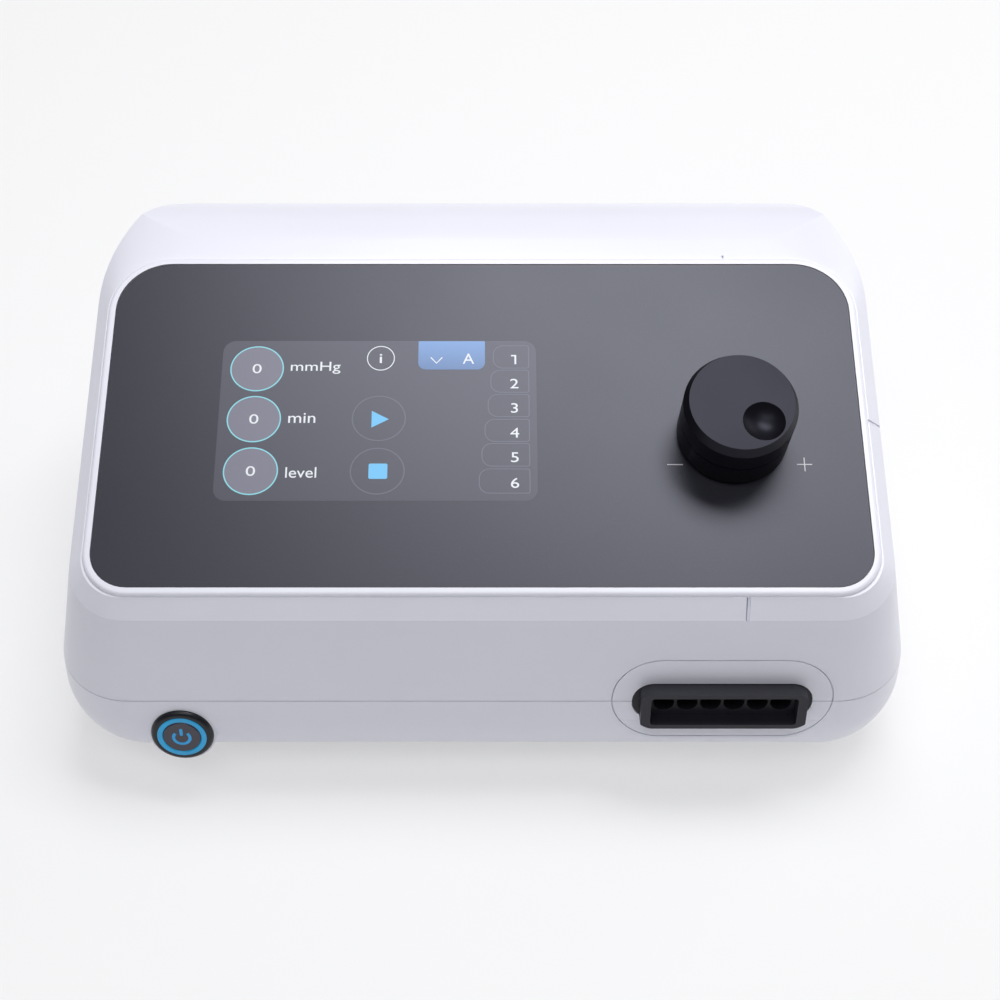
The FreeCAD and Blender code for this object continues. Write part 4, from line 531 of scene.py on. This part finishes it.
# %% Glass panel material
GLASS_LEVEL = 0.68
GLASS_MATT = 0.40
COOL_TINT = (0.84, 0.86, 1.0, 1.0)
glass, tree, shader = new_material("etched_dark_glass")
etch = group_in(tree, skin, grain=0.12, drift=60.0)
settled = group_in(tree, dust, amount=0.02)
tone = spread(tree, etch.outputs["Tone"], 0.0, 1.0)
printed = blend(tree, tone, (0.0085, 0.0085, 0.014), (0.0095, 0.0095, 0.0155))
tree.links.new(blend(tree, settled.outputs["Mask"], printed, (0.4, 0.4, 0.42)),
               shader.inputs["Base Color"])
tree.links.new(spread(tree, etch.outputs["Tone"], GLASS_MATT - 0.01, GLASS_MATT + 0.01),
               shader.inputs["Roughness"])
raised(tree, shader, etch.outputs["Height"], 0.0004)
shader.inputs["Specular IOR Level"].default_value = GLASS_LEVEL
shader.inputs["Specular Tint"].default_value = COOL_TINT
FINISHES["fascia"] = glass
print("glass panel made")

# %% [markdown]
# ## Light from inside
#
# The ring round the button and the display shine by themselves. An emission colour on the
# Principled shader does that and keeps the surface's own gloss. The display's light carries
# the dots from the group above, and the ring's light falls off unevenly round it, as it does
# with a few small lamps behind a diffuser.

# %% Glowing materials
def shining(name, body, roughness, strength):
    """A material with the glass's reflection over a dark body, ready to be given its light."""
    made, tree, shader = new_material(name)
    shader.inputs["Base Color"].default_value = (*body, 1)
    shader.inputs["Roughness"].default_value = roughness
    shader.inputs["Specular IOR Level"].default_value = GLASS_LEVEL
    shader.inputs["Specular Tint"].default_value = COOL_TINT
    shader.inputs["Emission Strength"].default_value = strength
    return made, tree, shader


def glowing(name, colour, strength, body=(0.010, 0.010, 0.015), roughness=GLASS_MATT,
            dotted=True):
    """A surface that shines in a colour, evenly or in dots, under its own gloss."""
    made, tree, shader = shining(name, body, roughness, strength)
    if dotted:
        level = group_in(tree, dots, pitch=DOT_PITCH).outputs["Light"]
    else:
        level = spread(tree, group_in(tree, skin, grain=0.8, drift=7.0).outputs["Tone"], 0.82, 1.1)
    tree.links.new(blend(tree, level, (0, 0, 0), colour), shader.inputs["Emission Color"])
    return made


def srgb(red, green, blue):
    """A screen colour from 0 to 255 as linear light."""
    part = np.array([red, green, blue]) / 255
    return tuple(np.where(part <= 0.04045, part / 12.92, ((part + 0.055) / 1.055) ** 2.4))


FINISHES["blue_lens"] = glowing("lit_blue_ring", srgb(12, 138, 188), 0.9,
                                body=(0.0, 0.02, 0.04), roughness=0.3, dotted=False)
GLOWS = {
    "cyan": glowing("display_cyan", srgb(138, 220, 232), 0.9),
    "sky": glowing("display_sky_blue", srgb(105, 200, 252), 0.88),
    "white": glowing("display_white", srgb(232, 236, 240), 0.95),
    "outline": glowing("display_faint_outline", srgb(112, 114, 126), 0.6),
    "fill": glowing("display_value_fill", srgb(128, 126, 140), 0.8),
}
print("glowing finishes:", ", ".join(GLOWS))

# %% [markdown]
# ## The lit field of the display
#
# A display that is on is never quite black: its lit area shows as a paler field in the glass,
# a little brighter at its upper left than at its lower right. The field is a thin sheet just
# above the glass, and a gradient along the panel's own directions drives its light.

# %% Material of the lit field and of the blue tab
def graded(name, low, high, strength, span, across=0.0):
    """Light that goes from one colour to another along the panel, between two millimetre marks."""
    made, tree, shader = shining(name, (0.009, 0.009, 0.0145), GLASS_MATT, strength)
    there = add(tree, "SeparateXYZ", {0: in_millimetres(tree, -TILT)})
    along = add(tree, "Math", {0: there.outputs["X"], 1: across, 2: there.outputs["Y"]},
                operation="MULTIPLY_ADD")
    part = add(tree, "MapRange", {"Value": along.outputs[0], "From Min": span[0],
                                  "From Max": span[1]})
    dot = group_in(tree, dots, pitch=DOT_PITCH)
    colour = blend(tree, part.outputs[0], low, high)
    tree.links.new(blend(tree, dot.outputs["Light"], (0, 0, 0), colour),
                   shader.inputs["Emission Color"])
    return made


GLASS_FOOT = PANEL_ORIGIN[1]
GLOWS["field"] = graded("display_field", (0.030, 0.030, 0.036), (0.052, 0.052, 0.064), 1.0,
                        (GLASS_FOOT + 30, GLASS_FOOT + 130), across=-0.45)
GLOWS["tab"] = graded("display_blue_tab", srgb(88, 128, 180), srgb(118, 162, 220), 0.88,
                      (GLASS_FOOT + 82, GLASS_FOOT + 93))
print("field and tab are graded up the slope from", round(GLASS_FOOT + 30, 1), "mm")

# %% [markdown]
# ## Dressing the CAD nodes
#
# Every node arrives with a slot that is named for its finish. The name is looked up in the
# table that the cells above have filled, and the two boards with tall parts get their own.

# %% Give every CAD node its finish
for name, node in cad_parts.items():
    for holder in node.material_slots:
        holder.material = BOARDS.get(name) or FINISHES[holder.material.name.split(".")[0]]
print(len(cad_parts), "CAD nodes now carry", len(FINISHES), "finishes")

# %% [markdown]
# ## Meshes from arrays
#
# The printed and lit marks are thin slabs and ribbons. Each is a closed shape: an outline
# carried between two heights, or a rectangular section carried along a path. Both are worked
# out as whole arrays in local millimetres, seated on their wall, and handed to the mesh.

# %% Helpers for meshes
def piece(name, points, faces, finish, body="base", smooth=False):
    """An object at the origin from points in metres; merged, closed and facing outwards."""
    mesh = bpy.data.meshes.new(name)
    mesh.from_pydata(np.asarray(points).tolist(), [], faces)
    work = bmesh.new()
    work.from_mesh(mesh)
    bmesh.ops.remove_doubles(work, verts=work.verts, dist=1e-7)
    bmesh.ops.recalc_face_normals(work, faces=work.faces)
    work.to_mesh(mesh)
    work.free()
    mesh.polygons.foreach_set("use_smooth", [smooth] * len(mesh.polygons))
    mesh.materials.append(finish)
    made = bpy.data.objects.new(name, mesh)
    bpy.context.collection.objects.link(made)
    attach(made, body)
    return made


def joined(parts):
    """Several (points, faces) pairs as one."""
    points, faces, start = [], [], 0
    for some_points, some_faces in parts:
        points.append(some_points)
        faces += [[start + corner for corner in face] for face in some_faces]
        start += len(some_points)
    return np.concatenate(points), faces


def slab(outline, low, high):
    """The outline at two heights, a wall between them and a lid on each end."""
    count = len(outline)
    levels = np.repeat([[low], [high]], count, axis=0)
    points = np.hstack([np.tile(outline, (2, 1)), levels])
    here = np.arange(count)
    there = np.roll(here, -1)
    walls = np.column_stack([here, there, there + count, here + count]).tolist()
    return points, walls + [list(range(count, 2 * count)), list(range(count))[::-1]]


def ribbon(path, width, low, high, closed=True):
    """Path points plus and minus half a width along the path's normal, at two heights."""
    path = np.asarray(path, float)
    if closed:
        step = np.roll(path, -1, axis=0) - np.roll(path, 1, axis=0)
    else:
        step = np.gradient(path, axis=0)
    step /= np.linalg.norm(step, axis=1, keepdims=True)
    side = np.column_stack([step[:, 1], -step[:, 0]]) * width / 2
    outer, inner = path + side, path - side
    count = len(path)
    section = np.stack([np.column_stack([outer, np.full(count, low)]),
                        np.column_stack([outer, np.full(count, high)]),
                        np.column_stack([inner, np.full(count, high)]),
                        np.column_stack([inner, np.full(count, low)])], axis=1)
    here = np.arange(count if closed else count - 1)
    there = (here + 1) % count
    faces = []
    for k in range(4):
        after = (k + 1) % 4
        faces += np.column_stack([4 * here + k, 4 * there + k, 4 * there + after,
                                  4 * here + after]).tolist()
    if not closed:
        last = 4 * (count - 1)
        faces += [[0, 1, 2, 3], [last + 3, last + 2, last + 1, last]]
    return section.reshape(-1, 3), faces


def oval(x, y, across, up=None, count=96):
    """Points (x + across cos t, y + up sin t) for t from 0 to a full turn."""
    t = np.linspace(0, 2 * pi, count, endpoint=False)
    return np.column_stack([x + across * np.cos(t), y + (up or across) * np.sin(t)])


def rounded(left, right, low, high, radii, count=10):
    """A rectangle whose corners are quarter circles, from the lower right, anticlockwise."""
    t = np.linspace(0, pi / 2, count)
    corners = []
    spots = [(right, low, -1, 1), (right, high, -1, -1), (left, high, 1, -1), (left, low, 1, 1)]
    for turn, (radius, (x, y, inward, upward)) in enumerate(zip(radii, spots)):
        swept = t + (turn - 1) * pi / 2
        corners.append(np.column_stack([x + radius * (inward + np.cos(swept)),
                                        y + radius * (upward + np.sin(swept))]))
    return np.concatenate(corners)


print("helpers for slabs and ribbons are ready")

# %% [markdown]
# ## Words and numbers
#
# The display shows plain words and numbers in a wide, even typeface. A text object gives
# their shapes. It is turned into a mesh at once, squeezed to the height and width that the
# display gives it, and only then laid on the panel, so that nothing is left to scale later.

# %% Lettering as a mesh
def letters(words, centre, height, span=None, stretch=1.12, low=0.05, high=0.1):
    """Text scaled to a height, and to a width or by a stretch, about a centre on the panel."""
    curve = bpy.data.curves.new("words", "FONT")
    curve.body = words
    curve.extrude = 1.0
    curve.resolution_u = 5
    curve.offset = 0.001
    holder = bpy.data.objects.new("words", curve)
    bpy.context.collection.objects.link(holder)
    bpy.context.view_layer.update()
    mesh = bpy.data.meshes.new_from_object(
        holder.evaluated_get(bpy.context.evaluated_depsgraph_get()))
    points = np.empty(3 * len(mesh.vertices))
    mesh.vertices.foreach_get("co", points)
    points = points.reshape(-1, 3)
    faces = [list(polygon.vertices) for polygon in mesh.polygons]
    bpy.data.objects.remove(holder)
    lowest, highest = points.min(axis=0), points.max(axis=0)
    tall = height / (highest[1] - lowest[1])
    wide = span / (highest[0] - lowest[0]) if span else tall * stretch
    middle = (lowest + highest) / 2
    levels = np.where(points[:, 2] > 0, high, low)
    flat = (points[:, :2] - middle[:2]) * (wide, tall) + centre
    return np.column_stack([flat, levels]), faces


def show(name, parts, finish):
    """Lay several shapes on the glass as one lit piece."""
    points, faces = joined(parts)
    made = piece(name, on_panel(points), faces, GLOWS[finish])
    print(name, len(made.data.polygons), "faces")


FIELD_LOW, FIELD_HIGH = 0.01, 0.03
FILL_LOW, FILL_HIGH = 0.015, 0.05
LINE_LOW, LINE_HIGH = 0.02, 0.07
MARK_LOW, MARK_HIGH = 0.05, 0.10

# %% [markdown]
# ## The display's picture
#
# The picture is laid out in millimetres across the panel and up its slope. It has a lit
# field, three value circles at the left with their units, a column with an information mark,
# a start and a stop key, a blue tab at the top, and six numbered tabs at the right, one for
# each air chamber. Lines of equal weight are ribbons and filled shapes are slabs.

# %% Lit field and value circles
show("screen_field", [slab(rounded(-91.6, 18.95, 31.2, 93.2, (4.5, 4.5, 4.5, 4.5)),
                           FIELD_LOW, FIELD_HIGH)], "field")
VALUES = {"pressure": 82.05, "minutes": 62.25, "level": 42.35}
VALUE_X = -79.25
VALUE_WIDE, VALUE_TALL = 9.2, 8.76
show("value_fills", [slab(oval(VALUE_X, v, VALUE_WIDE - 0.2, VALUE_TALL - 0.2), FILL_LOW,
                          FILL_HIGH) for v in VALUES.values()], "fill")
show("value_outlines", [ribbon(oval(VALUE_X, v, VALUE_WIDE, VALUE_TALL), 0.45, LINE_LOW, LINE_HIGH)
                        for v in VALUES.values()], "cyan")
show("value_numbers", [letters("0", (VALUE_X, v), 3.7, span=3.2) for v in VALUES.values()],
     "white")

# %% [markdown]
# ## Units
#
# Beside each circle stands what it counts: pressure in millimetres of mercury, minutes, and a
# level. Each word is set by its own height and width, as the display spaces them.

# %% Units beside the circles
show("value_units", [letters("mmHg", (-58.65, 82.4), 4.8, span=17.5),
                     letters("min", (-62.6, 62.65), 3.8, span=9.4),
                     letters("level", (-62.0, 41.8), 4.0, span=10.6)], "white")

# %% [markdown]
# ## Keys drawn in light
#
# Touching the triangle starts a treatment and touching the square stops it. The keys aren't
# buttons that move, so they are thin slabs inside a faint ring. The information mark above
# them is a finer ring with a letter in it.

# %% Information mark, start key and stop key
KEY_X, KEY_WIDE, KEY_TALL = -35.9, 9.2, 8.6
INFORMATION = (-35.8, 86.24)
KEYS = {"start": 62.53, "stop": 42.35}
show("key_outlines", [ribbon(oval(KEY_X, v, KEY_WIDE, KEY_TALL), 0.42, LINE_LOW, LINE_HIGH)
                      for v in KEYS.values()], "outline")
start_arrow = np.array([(-38.4, 65.4), (-38.4, 58.93), (-32.43, 62.14)])
show("start_and_stop", [slab(start_arrow, MARK_LOW, MARK_HIGH),
                        slab(rounded(-38.9, -32.45, 39.4, 45.15, (0.6,) * 4), MARK_LOW,
                             MARK_HIGH)], "sky")
ring = oval(*INFORMATION, 4.75, 4.75)
show("information_mark", [ribbon(ring, 0.32, LINE_LOW, LINE_HIGH),
                          letters("i", (-35.8, 86.1), 3.6, stretch=1.5)], "white")

# %% [markdown]
# ## The mode tab
#
# A blue tab hangs from the top edge and shows the chosen mode. Its two lower corners are
# round. The mark that opens the list is a short path of three points, given a width.

# %% Blue tab with its mark and letter
show("mode_tab", [slab(rounded(-22.6, 0.9, 81.72, 93.1, (2.8, 0.4, 0.4, 2.8)), LINE_LOW,
                       LINE_HIGH - 0.01)], "tab")
chevron = np.array([(-18.21, 86.56), (-16.16, 84.24), (-14.15, 86.56)])
show("mode_mark", [ribbon(chevron, 0.42, MARK_LOW, MARK_HIGH, closed=False),
                   letters("A", (-4.9, 86.05), 4.1, span=4.05)], "white")

# %% [markdown]
# ## Six chamber tabs
#
# Six tabs stand in a column at the right, one for each air chamber. Each is outlined by a
# faint line and carries its number. Their left edges step back a little from tab to tab, so
# the column leans, and one list of measures places them all. The figure 1 is drawn as a slab
# with a flag, because the typeface's own is a bare bar.

# %% Chamber tabs and their numbers
TAB_LEFT = (3.87, 2.97, 2.05, 0.94, -0.09, -1.0)
TAB_TOP = (91.2, 81.44, 71.86, 62.14, 52.82, 43.13)
TAB_LOW = (81.96, 72.37, 62.87, 53.31, 43.89, 33.77)
TAB_RIGHT, NUMBER_X = 16.3, 11.2
show("chamber_outlines", [ribbon(rounded(left, TAB_RIGHT, low + 0.3, top, (0.8, 0.8, 3.4, 3.4)),
                                 0.34, LINE_LOW, LINE_HIGH)
                          for left, top, low in zip(TAB_LEFT, TAB_TOP, TAB_LOW)], "outline")
NUMBER_V = (85.68, 76.12, 66.53, 56.96, 47.56, 37.87)
one = np.array([(-1.1, 1.85), (0.75, 1.85), (0.75, -1.85), (0.1, -1.85), (0.1, 1.3), (-1.1, 1.3)])
show("chamber_numbers", [slab(one + (NUMBER_X, NUMBER_V[0]), MARK_LOW, MARK_HIGH)]
     + [letters(str(number), (NUMBER_X, v), 3.75, stretch=1.25)
        for number, v in enumerate(NUMBER_V[1:], start=2)], "white")

# %% [markdown]
# ## Marks printed beside the dial
#
# A minus and a plus stand in front of the dial, one at each side. They are printed in thin
# pale ink, so they don't shine. Each is a bar or two of equal weight.

# %% Minus and plus
ink = moulded("pale_ink", (0.52, 0.52, 0.56), (0.58, 0.58, 0.62), (0.35, 0.45), depth=0.001)


def bar(x0, x1, v0, v1):
    """A straight bar whose corners are barely rounded."""
    return slab(rounded(x0, x1, v0, v1, (0.05,) * 4, 3), FIELD_LOW, LINE_HIGH)


PLUS_X, PLUS_V, ARM, HALF = 110.4, 44.85, 2.6, 0.18
MINUS_LEFT, MINUS_RIGHT, MINUS_V = 63.3, 68.75, 44.8
marks = joined([bar(MINUS_LEFT, MINUS_RIGHT, MINUS_V - HALF, MINUS_V + HALF),
                bar(PLUS_X - ARM, PLUS_X + ARM, PLUS_V - HALF, PLUS_V + HALF),
                bar(PLUS_X - HALF, PLUS_X + HALF, PLUS_V + HALF, PLUS_V + ARM),
                bar(PLUS_X - HALF, PLUS_X + HALF, PLUS_V - ARM, PLUS_V - HALF)])
piece("minus_and_plus", on_panel(marks[0]), marks[1], ink)
print("minus and plus printed")

# %% [markdown]
# ## The power symbol
#
# The button's face carries the usual power symbol, an open ring with an upright bar, lit in
# nearly the same blue as the ring around it. It is moulded into the face on the real button.
# Here a thin piece stands just proud of the face, and it rides on the button so that it
# travels with it when the button is pressed.

# %% Power symbol on the button
FACE, SUNK, PROUD = 2.0, 0.02, 0.05
ARC_RADIUS, ARC_LINE, BAR_HALF = 2.85, 1.1, 0.55
symbol_blue = glowing("lit_power_symbol", srgb(8, 132, 190), 0.9, body=(0.005, 0.03, 0.05),
                      dotted=False)
gap = radians(48)
sweep = np.linspace(pi / 2 + gap, 5 * pi / 2 - gap, 72)
arc = ARC_RADIUS * np.column_stack([np.cos(sweep), np.sin(sweep)])
points, faces = joined([
    ribbon(arc, ARC_LINE, FACE - SUNK, FACE + PROUD, closed=False),
    slab(rounded(-BAR_HALF, BAR_HALF, 0.9, 4.1, (0.5,) * 4, 6), FACE - SUNK, FACE + PROUD)])
piece("power_symbol", on_button(points), faces, symbol_blue, body="button")
print("power symbol spans", round(2 * ARC_RADIUS + ARC_LINE, 2), "mm")

# %% [markdown]
# ## Rims of the air ports
#
# Where a hose plug slides in, each of the six ports has a small rounded lip that catches the
# light. A ring of round section is a torus: one angle runs round the port and the other
# round the section.

# %% Port rims
def torus(x, y, z, large, small, around=64, section=10):
    """A torus about a centre.

    The point at angles u round the ring and v round its section is
    ((large + small cos v) cos u, (large + small cos v) sin u, small sin v).
    """
    u, v = np.meshgrid(np.linspace(0, 2 * pi, around, endpoint=False),
                       np.linspace(0, 2 * pi, section, endpoint=False), indexing="ij")
    reach = large + small * np.cos(v)
    points = np.stack([x + reach * np.cos(u), y + reach * np.sin(u), z + small * np.sin(v)], -1)
    i, j = np.meshgrid(np.arange(around), np.arange(section), indexing="ij")
    after, above = (i + 1) % around, (j + 1) % section
    faces = np.stack([i * section + j, after * section + j, after * section + above,
                      i * section + above], -1)
    return points.reshape(-1, 3), faces.reshape(-1, 4).tolist()


PORT_PITCH, PORT_RADIUS, PORT_FACE = 8.08, 3.6, 0.3
LIP, LIP_OUT = 0.16, 0.12
points, faces = joined([torus(PORT_PITCH * (i - 2.5), 0, PORT_FACE, PORT_RADIUS + LIP_OUT, LIP)
                        for i in range(6)])
piece("port_rims", on_outlet(points), faces, FINISHES["outlet_plastic"],
      smooth=True)
print("six port rims made")

# %% [markdown]
# ## The studio
#
# The pump stands on a white floor under softboxes, with the light of the room all round. The
# floor keeps the pump's own soft shadow. To the camera, and to anything that mirrors it, half
# of the floor's white is a plain glow, so that it looks almost white. The Light Path node
# tells those rays from the rest, so the glow adds no light to the pump's matt sides.

# %% Floor
def seen(tree):
    """1 for rays that show the surface: from the camera, a mirror or a glass."""
    path = add(tree, "LightPath")
    mirrored = add(tree, "Math", {0: path.outputs["Is Camera Ray"],
                                  1: path.outputs["Is Glossy Ray"]}, operation="MAXIMUM")
    return add(tree, "Math", {0: mirrored.outputs[0], 1: path.outputs["Is Transmission Ray"]},
               operation="MAXIMUM").outputs[0]


FLOOR_SHARE = 0.5
FLOOR_GLOW = (0.96, 0.96, 0.965, 1)
floor_paint, tree, shader = new_material("studio_floor")
shader.inputs["Base Color"].default_value = (0.92, 0.92, 0.925, 1)
shader.inputs["Roughness"].default_value = 0.9
share = add(tree, "Math", {0: seen(tree), 1: FLOOR_SHARE}, operation="MULTIPLY")
glow = add(tree, "Emission", {"Color": FLOOR_GLOW, "Strength": 1.0})
mixed = add(tree, "MixShader", {0: share.outputs[0], 1: shader.outputs[0], 2: glow.outputs[0]})
tree.links.new(mixed.outputs[0], tree.nodes["Material Output"].inputs["Surface"])

REACH = 6.0
floor_mesh = bpy.data.meshes.new("studio_floor")
floor_mesh.from_pydata([(-REACH, -REACH, 0), (REACH, -REACH, 0), (REACH, REACH, 0),
                        (-REACH, REACH, 0)], [], [(0, 1, 2, 3)])
floor_mesh.materials.append(floor_paint)
floor = bpy.data.objects.new("studio_floor", floor_mesh)
bpy.context.collection.objects.link(floor)
print("floor is", 2 * REACH, "metres wide")

# %% [markdown]
# ## The light of the room
#
# A white room lights the pump from all sides. Its strength depends on who asks: a surface that
# it lights gets the plain strength, a mirrored ray gets less, so that gloss stays quiet, and
# the camera gets nearly full white behind the floor's far edge.

# %% Room light
ROOM_LIGHT, MIRRORED_ROOM, SEEN_ROOM = 0.27, 0.14, 0.91
world = bpy.data.worlds.new("studio_room")
world.use_nodes = True
bpy.context.scene.world = world
tree = world.node_tree
background = tree.nodes["Background"]
background.inputs["Color"].default_value = (0.96, 0.97, 1.0, 1)
path = add(tree, "LightPath")
mirrored = add(tree, "Math", {0: path.outputs["Is Glossy Ray"],
                              1: path.outputs["Is Transmission Ray"]}, operation="MAXIMUM")
duller = add(tree, "Math", {0: mirrored.outputs[0], 1: MIRRORED_ROOM - ROOM_LIGHT, 2: ROOM_LIGHT},
             operation="MULTIPLY_ADD")
level = add(tree, "Math", {0: path.outputs["Is Camera Ray"], 1: SEEN_ROOM - ROOM_LIGHT,
                           2: duller.outputs[0]}, operation="MULTIPLY_ADD")
tree.links.new(level.outputs[0], background.inputs["Strength"])
print("room light", ROOM_LIGHT, "and", SEEN_ROOM, "for the camera")

# %% [markdown]
# ## Lamps
#
# Three softboxes shape the pump: a strong one overhead and a little behind, which lights the
# rear slope, one high in front for the walls and the glass, and a weak one behind at the right.
# A softbox is an area lamp that is turned so that its -Z axis looks at a target.

# %% Lamps
def softbox(name, place, target, size, power):
    """A rectangular lamp at a place, facing a target, of a size in metres and power in watts."""
    lamp = bpy.data.lights.new(name, "AREA")
    lamp.shape = "RECTANGLE"
    lamp.size, lamp.size_y = size
    lamp.energy = power
    made = bpy.data.objects.new(name, lamp)
    made.location = place
    made.rotation_euler = (Vector(target) - Vector(place)).to_track_quat("-Z", "Y").to_euler()
    bpy.context.collection.objects.link(made)


softbox("overhead_softbox", (0.2, 0.36, 1.5), (0.04, 0.02, 0.1), (0.98, 0.5), 14.3)
softbox("front_softbox", (-0.1, -0.62, 1.75), (0, -0.1, 0.02), (1.4, 0.5), 6.4)
softbox("right_fill", (1.2, 0.6, 0.7), (0, 0, 0.06), (1.0, 1.0), 4.0)
print("three soft lamps hung")
